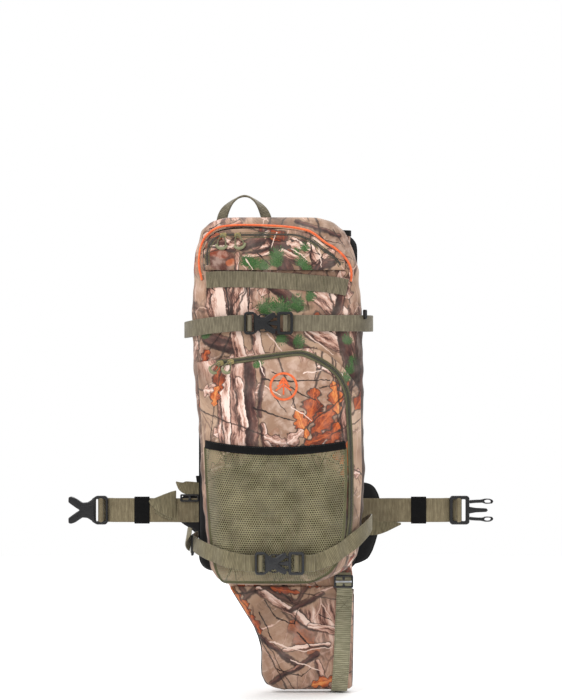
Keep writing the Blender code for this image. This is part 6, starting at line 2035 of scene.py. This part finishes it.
# seam down the boot's two sides and round its base
seam_l = [(BOOT_A(z) + 1.0, -60.5, z) for z in np.arange(-300, -449, -5.0)]
seam_r = [(BOOT_B(z) - 1.0, -60.5, z) for z in np.arange(-449, -299, 5.0)]
low_run = [(x, -60.5, -452.2) for x in np.arange(6, 110, 8.0)]
cordl = rope(np.array(seam_l + low_run + seam_r), 1.3, 2.0, 8, "boot_seam_cord", BLACK_CLOTH)
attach(cordl, "rifle_boot")
# cloth that bridges the fold at the front
P2, U2 = [], []
for z in np.linspace(-290.5, -301.5, 12):
    row = []
    for x in np.arange(-74 + max(0.0, (-z - 294)) * 0.7, 118.1, 4.0):
        row.append((x, -86.6 - 0.5 * math.cos((z + 296) / 5.5 * math.pi / 2), z))
    P2.append(row[:47])
n_cols = min(len(r) for r in P2)
P2 = np.array([r[:n_cols] for r in P2])
bridge = lattice("boot_fold_cloth", P2, CAMO_BOOT, P2[:, :, [0, 2]] * MM)
wall = thicken(bridge, 1.0, 0.0)
wall.use_even_offset = False
apply_all(bridge)
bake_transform(bridge)

STRIP = [(103.5, -87.2, -297), (102, -87.2, -330), (100.4, -87.0, -365), (99, -86.9, -400), (97.5, -85.6, -425), (96, -82.6, -443),
         (95.5, -79.6, -451), (95.2, -75, -453.6), (94.8, -60, -453.8), (94.5, -46, -453.6), (94.5, -41, -451.6), (94.5, -38.5, -443),
         (94.5, -35.6, -425)]
bw = webbing("boot_strip", STRIP, (1, 0, 0), 25.0, 1.8, SAGE_WEB, rib=0.2, pitch=3.0)
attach(bw, "rifle_boot")
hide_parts("boot_webbing")
sw = tab([(-453, 95.4), (-443, 96), (-425, 97.5), (-400, 99), (-365, 100.4), (-330, 102), (-297, 103.5)])
sy = tab([(-443, -83.7), (-425, -86.7), (-400, -88.0), (-365, -88.1), (-330, -88.3), (-297, -88.3)])
runs = []
for dx in (-11.0, 11.0):
    runs.append((np.array([(sw(z) + dx, sy(z), z) for z in np.arange(-306, -440, -3.0)]), (0, -1, 0)))
for za in (-306, -330, -424, -440):
    runs.append((np.array([(sw(za) + q, sy(za), za) for q in np.linspace(-11, 11, 9)]), (0, -1, 0)))
for za, zb in ((-306, -330), (-440, -424)):
    for sgn in (-1, 1):
        runs.append((np.array([(sw(za) + sgn * (-11 + 22 * q), (sy(za) * (1 - q) + sy(zb) * q) - 0.15, za + (zb - za) * q)
                               for q in np.linspace(0, 1, 9)]), (0, -1, 0)))
bs = stitches("boot_strip_stitching", runs, THREAD_OLIVE, pitch=3.2, long=2.3, radius=0.34)
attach(bs, "rifle_boot")
lock = ladder("boot_lock", 30, 20, 1.6, GREY_PLASTIC)
copy_box(lock, "boot_ladder_lock", "pack")
pin = rod((89.5, -92.9, -282.5), (114.5, -92.9, -282.5), 1.5, SILVER)
pin.name = "boot_lock_bar"
pin.data.transform(pin.matrix_basis)
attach(pin, "pack")
top_strap = webbing("boot_strip_head", [(103.4, -88.3, -302), (103.2, -88.6, -296), (102.8, -89.6, -291), (102.4, -91.2, -287), (102, -91.8, -282),
                                        (102, -90.4, -277.5), (102, -88.6, -274), (102, -87.6, -269)], (1, 0, 0), 24.0, 1.5, SAGE_WEB, rib=0.2, pitch=3.0)
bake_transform(top_strap)

# ------------------------------------------------------------------ haul handle
ARCH = [(-89, 258.0), (-89.5, 276), (-84, 296), (-70, 312.4), (-53, 319.8), (-37, 313.2), (-24, 298), (-17, 279), (-16, 258.0)]
arch = catmull([(x, -26, z) for x, z in ARCH], 4.0)
ways = []
for i, t in enumerate(tangents(arch)):
    s = math.sin(math.pi * i / (len(arch) - 1)) ** 2.4
    side_on = np.cross(t, (0, 1, 0))
    ways.append(side_on * (1 - s) + np.array((0, 1.0, 0)) * s)
handle = webbing("haul_loop", arch, ways, 16.6, 2.8, OLIVE_WEB, rib=0.14, curl=0.5)
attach(handle, "haul_handle")
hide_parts("haul_handle")
runs = []
for i0, i1 in ((2, 9), (len(arch) - 10, len(arch) - 3)):
    for off in (-5.5, 5.5):
        seg = np.array([arch[i] + unit(ways[i]) * off + (0, -1.7, 0) for i in range(i0, i1)])
        runs.append((seg, (0, -1, 0)))
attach(stitches("haul_loop_stitching", runs, THREAD_OLIVE, pitch=3.0, long=2.1, radius=0.3), "haul_handle")


# ------------------------------------------------------------------ shoulder straps
def pad_strap(name, route, way, widths, thick, mats, step=4.0):
    data = np.hstack([np.array(route, float), np.array(widths, float).reshape(-1, 1)])
    pts = catmull(data, None, 10)
    at = lengths(pts[:, :3])
    s = np.linspace(0, at[-1], int(at[-1] / step) + 1)
    pts = np.stack([np.interp(s, at, pts[:, k]) for k in range(4)], 1)
    path, t = pts[:, :3], tangents(pts[:, :3])
    w = unit(np.array(way, float) - t * (t @ np.array(way, float))[:, None])
    n = np.cross(t, w)
    angles = np.linspace(0, 2 * math.pi, 33)[:-1]
    P, UV = [], []
    for i in range(len(path)):
        d = min(1.0, s[i] / 12, (s[-1] - s[i]) / 12)
        swell = math.sqrt(max(0.02, 1 - (1 - d) ** 2))
        row = []
        for a in angles:
            ca, sa = math.cos(a), math.sin(a)
            u = math.copysign(abs(ca) ** 0.62, ca)
            v = math.copysign(abs(sa) ** 0.72, sa) * (1 - 0.1 * math.exp(-(u / 0.12) ** 2))
            v *= 1 - 0.05 * math.sin(s[i] / 4.0) * (1 - u * u)
            row.append(path[i] + w[i] * u * pts[i, 3] / 2 + n[i] * v * thick / 2 * swell)
        P.append(row)
        UV.append([(pts[i, 3] / 2 * math.cos(a) * MM, s[i] * MM) for a in angles] + [(pts[i, 3] / 2 * MM, s[i] * MM)])
    ob = sealed(lattice(name, np.array(P), mats, np.array(UV), wrap=True, ends=True))
    return ob, path, w, n, pts[:, 3]


SHOULDER_YZ = [(-9, 247), (-4, 268), (12, 280), (34, 279), (54, 262), (68, 232), (73, 190), (74, 130), (74, 60), (69, 8), (56, -42), (42, -74)]
SHOULDER_X = [48, 48, 48, 49, 51, 53, 56, 59, 63, 70, 80, 88]
for side, word in ((-1, "left"), (1, "right")):
    route = [(side * x, y, z) for x, (y, z) in zip(SHOULDER_X, SHOULDER_YZ)]
    n = len(route)
    widths = [44 + 14 * math.sin(min(1.0, i / (n - 1) * 2.2) * math.pi / 2) - 16 * max(0.0, i / (n - 1) - 0.72) / 0.28 for i in range(n)]
    body = f"shoulder_{word}"
    ob, path, w, nrm, wid = pad_strap(f"shoulder_pad_{word}", route, (1, 0, 0), widths, 11.0, [BLACK_CLOTH, SPACER])
    # the side towards the wearer is air mesh: nrm points to it or away from it
    inner = np.array([(0, -1.0, 0)])
    for f in ob.data.polygons:
        c = np.array(f.center) / MM
        j = int(np.argmin(((path - c) ** 2).sum(1)))
        out = nrm[j] if np.dot(nrm[j], path[j] - np.array((path[j][0], 20.0, 130.0))) > 0 else -nrm[j]
        f.material_index = 0 if np.dot(np.array(f.normal), out) > -0.2 else 1
    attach(ob, body)
    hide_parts(f"shoulder_strap_{word}")
    for e_word, sgn in (("inner", -1), ("outer", 1)):
        edge_path = path + w * (wid / 2 * sgn * 0.985)[:, None]
        tape = webbing(f"shoulder_edge_{e_word}_{word}", edge_path[1:-1:2], nrm[1:-1:2], 4.4, 1.5, ELASTIC, rib=0.15, pitch=1.8)
        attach(tape, body)
    outs = np.array([nrm[j] if np.dot(nrm[j], path[j] - np.array((path[j][0], 20.0, 130.0))) > 0 else -nrm[j] for j in range(len(path))])
    run = path + outs * 6.0
    k0 = int(len(run) * 0.30)
    spine = webbing(f"shoulder_run_{word}", run[k0:-2:3], w[k0:-2:3], 20.0, 1.5, BLACK_WEB, rib=0.14)
    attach(spine, body)
    lk = ladder(f"shoulder_ladder_{word}", 26, 32, 1.7, PLASTIC)
    from mathutils import Euler
    lk.data.transform(Euler((math.pi / 2 + 0.42, math.pi / 2 - side * 0.2, 0)).to_matrix().to_4x4())
    copy_box(lk, f"shoulder_lock_{word}", body)
    # webbing from the pad's foot through the adjuster
    foot = webbing(f"shoulder_foot_{word}", [path[-4] + outs[-4] * 6.2, path[-1] + outs[-1] * 4.5, (side * 89.4, 38.2, -84), (side * 90.5, 35.0, -95)],
                   (1, 0, 0), 22.0, 1.6, BLACK_WEB, rib=0.12)
    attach(foot, body)
    lower = webbing(f"shoulder_lower_web_{word}", [(side * 91, 33.0, -99), (side * 93, 28, -112), (side * 99, 17.3, -113.5), (side * 105, 6.7, -114.2),
                                                 (side * 111, -4, -115), (side * 117, -14.8, -116)], (0, 0.02, 1), 22.0, 1.6, BLACK_WEB, rib=0.14)
    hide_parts(f"shoulder_webbing_{word}")
    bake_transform(lower)
    sb = f"sternum_webbing_{word}"
    stern = webbing(f"sternum_web_{word}", [(side * 60, 82.4, 112), (side * 60, 82.6, 100), (side * 60, 82.8, 88), (side * 60, 82.6, 76), (side * 60, 82.4, 66)],
                    (1, 0, 0), 20.0, 1.5, BLACK_WEB, rib=0.14)
    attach(stern, sb)
    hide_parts(sb)
    # sternum buckle: the socket on the left, the plug on the right
    if side < 0:
        shell = plate("sternum_socket", rounded([(-11.8, 66), (-12, 50), (-10.6, 44), (-11.6, 31), (-8, 30), (8, 30), (11.6, 31), (10.6, 44), (12, 50), (11.8, 66)], 1.6, 3),
                      [rounded([(-8, 62.5), (-8, 57.5), (8, 57.5), (8, 62.5)], 0.8, 2)], 3.35, PLASTIC, 1.0, 1.2)
        slot_ = from_bm("c", box_bm((-8.5, -1.6, 20), (8.5, 1.6, 52)), PLASTIC)
        cut(shell, slot_)
        place(shell, (-60, 0), 87.6)
        st_body = "sternum_buckle_female"
    else:
        shell = plate("sternum_plug", [(-11, 64), (-11, 50), (-8, 46), (-8.0, 30), (-5, 30), (-4.5, 44), (-1.6, 44), (-1.6, 32),
                                       (1.6, 32), (1.6, 44), (4.5, 44), (5, 30), (8.0, 30), (8, 46), (11, 50), (11, 64)],
                      [rounded([(-8, 61.5), (-8, 57.5), (8, 57.5), (8, 61.5)], 0.8, 2)], 1.8, PLASTIC, 1.0, 0.6)
        place(shell, (60, 0), 87.6)
        st_body = "sternum_buckle_male"
    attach(shell, st_body)
    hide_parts(st_body)

# ------------------------------------------------------------------ hip fins, belt and its buckle
FIN_OUT = tab([(-262, 108), (-261, 120), (-258, 130), (-252, 142), (-240, 148.6), (-226, 153.6), (-210, 158), (-197, 160.4), (-180, 161),
               (-160, 160.6), (-150, 157.6), (-140, 152), (-135, 145), (-132.6, 134), (-132, 124)])
FIN_NEAR = tab([(-262, 104), (-258, 108), (-250, 113), (-240, 117), (-226, 122), (-212, 129), (-202, 142), (-196, 152), (-190, 157.5), (-176, 159.5),
                (-163, 158), (-157, 153), (-150, 143), (-142, 133), (-135, 126), (-132, 120)])
k = 1.3
for side, word in ((-1, "left"), (1, "right")):
    fin, beltb = f"hip_fin_{word}", f"belt_{word}"
    zs = soft_rows(-262, -132, 3.0, 8)
    out_x = FIN_OUT if side > 0 else FIN_NEAR          # the left fin is tucked in behind the bag
    a, b = ((lambda z: 95.0), out_x) if side > 0 else ((lambda z: -FIN_NEAR(z)), (lambda z: -95.0))

    def fin_relief(x, z, side=side):
        ax = np.abs(x)
        g = groove(ax - 128.0, 2.6, 2.2)
        return np.maximum(g, groove(np.full_like(x, z + 176.0), 3.0, 1.2))

    ob = pillow(f"fin_pad_{word}", zs, a, b, -9.0, 5.7, 5.7, [BLACK_CLOTH, SPACER], 8.0, 33, fin_relief, seam=0.9, lumps=0.5)
    for f in ob.data.polygons:
        f.material_index = 1 if f.normal.y > 0.3 else 0
    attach(ob, fin)
    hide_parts(fin)
    line = [(side * 95.5, z) for z in (-261,)] + [(side * (out_x(z) - 0.2), z) for z in zs] + [(side * 95.5, -133)]
    line = evenly(line, 4)
    tape = webbing(f"fin_edge_{word}", np.column_stack([line[:, 0], np.full(len(line), -9.0), line[:, 1]]), (0, 1, 0), 7.0, 1.5, ELASTIC,
                   rib=0.15, pitch=1.8, smooth_route=False)
    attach(tape, fin)
    end = 268.0 if side < 0 else 270.0
    if side < 0:
        at = (-(end + 0.6) - 39 * k, -176.0)
        female("belt_socket", at, -12.0, k, PLASTIC, -1.0, 0.0, beltb, "belt_buckle_female")
        loop = loop_path(at, -12.0, k, -1, -30.2, -39.0, -1)[:-1]
    else:
        at = ((end + 0.6) + 36 * k, -176.0)
        male("belt_plug", at, -12.0, k, PLASTIC, -1.0, 0.0, beltb, "belt_buckle_male")
        for sd, wd in ((1, "upper"), (-1, "lower")):
            prong(f"belt_arm_{wd}", sd, at, -12.0, k, PLASTIC, -1.0, 0.0, f"belt_prong_{wd}", f"belt_prong_{wd}")
        loop = loop_path(at, -12.0, k, -1, 24.4, 36.0, 1)[:-1]
    pts = list(reversed(loop)) + [(side * x, y, -176.0) for x, y in ((236, -12), (215, -12), (192, -12), (174, -12.3), (160, -14.6), (146, -15.6),
                                                                   (130, -15.9), (112, -15.9))]
    lean = [(0, 0, 1)] * len(loop) + [(0, 0, 1), (0, 0.0, 1), (0, 0, 1), (0, 0.03 * side, 1), (0, 0, 1), (0, 0, 1), (0, 0, 1), (0, 0, 1)]
    web = webbing(f"belt_web_{word}", pts, lean, 38.0, 2.0, BELT_WEB, rib=0.12, pitch=2.2)
    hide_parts(f"belt_webbing_{word}")
    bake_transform(web)
    cx = side * 122
    runs = []
    for dz in (-16.5, 16.5):
        runs.append((np.array([(cx + q, -16.95, -176 + dz) for q in np.linspace(-9, 9, 8)]), (0, -1, 0)))
    for dx in (-9, 9):
        runs.append((np.array([(cx + dx, -16.95, -176 + q) for q in np.linspace(-16.5, 16.5, 12)]), (0, -1, 0)))
    for sg in (-1, 1):
        runs.append((np.array([(cx + sg * q, -17.0, -176 + q * 16.5 / 9) for q in np.linspace(-9, 9, 12)]), (0, -1, 0)))
    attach(stitches(f"belt_box_stitch_{word}", runs, THREAD_OLIVE, pitch=3.0, long=2.2, radius=0.32), fin)
    kx = -215.0 if side < 0 else 222.0
    sec = rounded([(-13.9, -20.7), (-13.9, 20.7), (-10.1, 20.7), (-10.1, -20.7)], 1.6, 4)
    sec = sec + sec[:1]
    keep = webbing(f"belt_loop_{word}", [(kx, y, -176 + z) for y, z in sec], (1, 0, 0), 24.0, 1.25, ELASTIC, rib=0.15, pitch=1.8, smooth_route=False)
    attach(keep, f"belt_keeper_{word}")
    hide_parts(f"belt_keeper_{word}")

# fittings that hang on the left fin, and the spare webbing at the right
tri = ladder("fin_tri_glide", 30, 12, 1.5, PLASTIC)
place(tri, (-139.5, -156.5), -18.6)
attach(tri, "hip_fin_left")
tail_a = webbing("fin_tail_pointed", [(-112, -15.8, -144), (-122, -16.8, -143.2), (-134, -18.0, -142), (-146, -18.6, -140), (-152, -18.4, -138.2), (-157, -17.9, -134.6),
                                      (-161, -17.4, -131)],
                 [(-0.05, 0, 1), (-0.05, 0, 1), (-0.05, 0, 1), (-0.15, 0, 1), (-0.3, 0, 1), (-0.4, 0, 1), (-0.4, 0, 1)], [22, 22, 22, 20, 15, 8, 1.5], 1.6,
                 KHAKI_WEB, rib=0.14)
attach(tail_a, "hip_fin_left")
black_loop = webbing("fin_loop_black", [(-123, -15.6, -136), (-123.5, -17.6, -131), (-124.2, -18.0, -126), (-124.6, -17.0, -122), (-124.8, -15.2, -124)],
                     (1, 0, 0.1), 10.0, 1.4, BLACK_WEB, rib=0.14)
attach(black_loop, "hip_fin_left")
# the spare end, folded over on itself into a flat diamond
tail_b = webbing("belt_tail_folded", [(-203.5, -15.2, -161), (-196, -16.6, -163.6), (-186, -17.8, -165.6), (-176, -18.4, -166.6), (-168, -18.4, -167), (-161, -17.4, -167)],
                 [(0.1, 0, 1), (0.1, 0, 1), (0.25, 0, 1), (0.42, 0, 1), (0.52, 0, 1), (0.55, 0, 1)], [3, 15, 27, 36, 42, 45], 1.5, KHAKI_WEB, rib=0.14)
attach(tail_b, "belt_left")
tail_b2 = webbing("belt_tail_under", [(-158, -15.4, -180), (-170, -15.6, -179), (-182, -15.4, -176), (-194, -14.6, -174)], (0.25, 0, 1), [24, 23, 20, 12], 1.5,
                  KHAKI_WEB, rib=0.14)
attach(tail_b2, "belt_left")
tail_c = webbing("belt_spare_right", [(144, -17.0, -203), (156, -16.0, -203.2), (168, -15.2, -201.8), (181, -14.8, -199.4), (194, -14.6, -197.2)],
                 [(0, 0, 1), (0, 0.06, 1), (0, 0.16, 1), (0, 0.2, 1), (0, 0.1, 1)], [25, 23, 18, 11, 3], 1.6, KHAKI_WEB, rib=0.14)
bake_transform(tail_c)

# ------------------------------------------------------------------ stage, light and camera
def stage_and_camera():
    bm = bmesh.new()
    rings = [[bm.verts.new((r * math.cos(q), r * math.sin(q), -0.4575)) for q in np.linspace(0, 2 * math.pi, 49)[:-1]]
             for r in (0.5, 1.2, 2.0, 3.0)]
    bm.faces.new(rings[0])
    for a, b in zip(rings, rings[1:]):
        for j in range(48):
            bm.faces.new((a[j], b[j], b[(j + 1) % 48], a[(j + 1) % 48]))
    bmesh.ops.recalc_face_normals(bm, faces=bm.faces)
    me = bpy.data.meshes.new("floor")
    bm.to_mesh(me)
    bm.free()
    me.shade_smooth()
    ob = link(bpy.data.objects.new("floor", me))
    s = Shade("stage_pale")
    s.end(s.mix(s.noise(s.obj(), 2.0, 2, 0.5), (0.90, 0.90, 0.90), (0.93, 0.93, 0.93)), 0.9, spec=0.1)
    me.materials.append(s.mat)

    world = bpy.data.worlds.new("studio")
    world.use_nodes = True
    bg = world.node_tree.nodes["Background"]
    bg.inputs[0].default_value = (1.0, 1.0, 1.0, 1)
    bg.inputs[1].default_value = 1.0
    bpy.context.scene.world = world

    def area(name, at, look, size, power, colour=(1, 1, 1), size_y=None):
        li = bpy.data.lights.new(name, "AREA")
        li.energy, li.color = power, colour
        li.shape, li.size, li.size_y = "RECTANGLE", size, size_y or size
        o = link(bpy.data.objects.new(name, li))
        o.location = at
        o.rotation_euler = (Vector(look) - Vector(at)).to_track_quat("-Z", "Y").to_euler()
        return o

    area("key", (-1.5, -2.6, 1.9), (0, -0.1, 0.0), 1.1, 44, (1.0, 0.985, 0.96))
    area("fill", (1.9, -2.4, 0.7), (0, -0.1, 0.0), 1.6, 7, (0.97, 0.98, 1.0))
    area("top", (0.1, -0.4, 2.6), (0, -0.05, 0.0), 1.4, 22)
    area("back", (0.6, 2.4, 1.5), (0, 0, 0.05), 1.4, 26)
    cam = bpy.data.cameras.new("camera")
    cam.sensor_fit = "VERTICAL"
    cam.sensor_height = 36.0
    cam.sensor_width = 36.0
    dist = 4.5
    cam.lens = 36.0 * dist / 1.078
    cam.clip_end = 60
    o = link(bpy.data.objects.new("camera", cam))
    o.location = (0.0046, -0.13 - dist, 0.077)
    o.rotation_euler = (math.pi / 2, 0, 0)
    bpy.context.scene.camera = o
    bpy.context.scene.view_settings.view_transform = "Standard"


stage_and_camera()
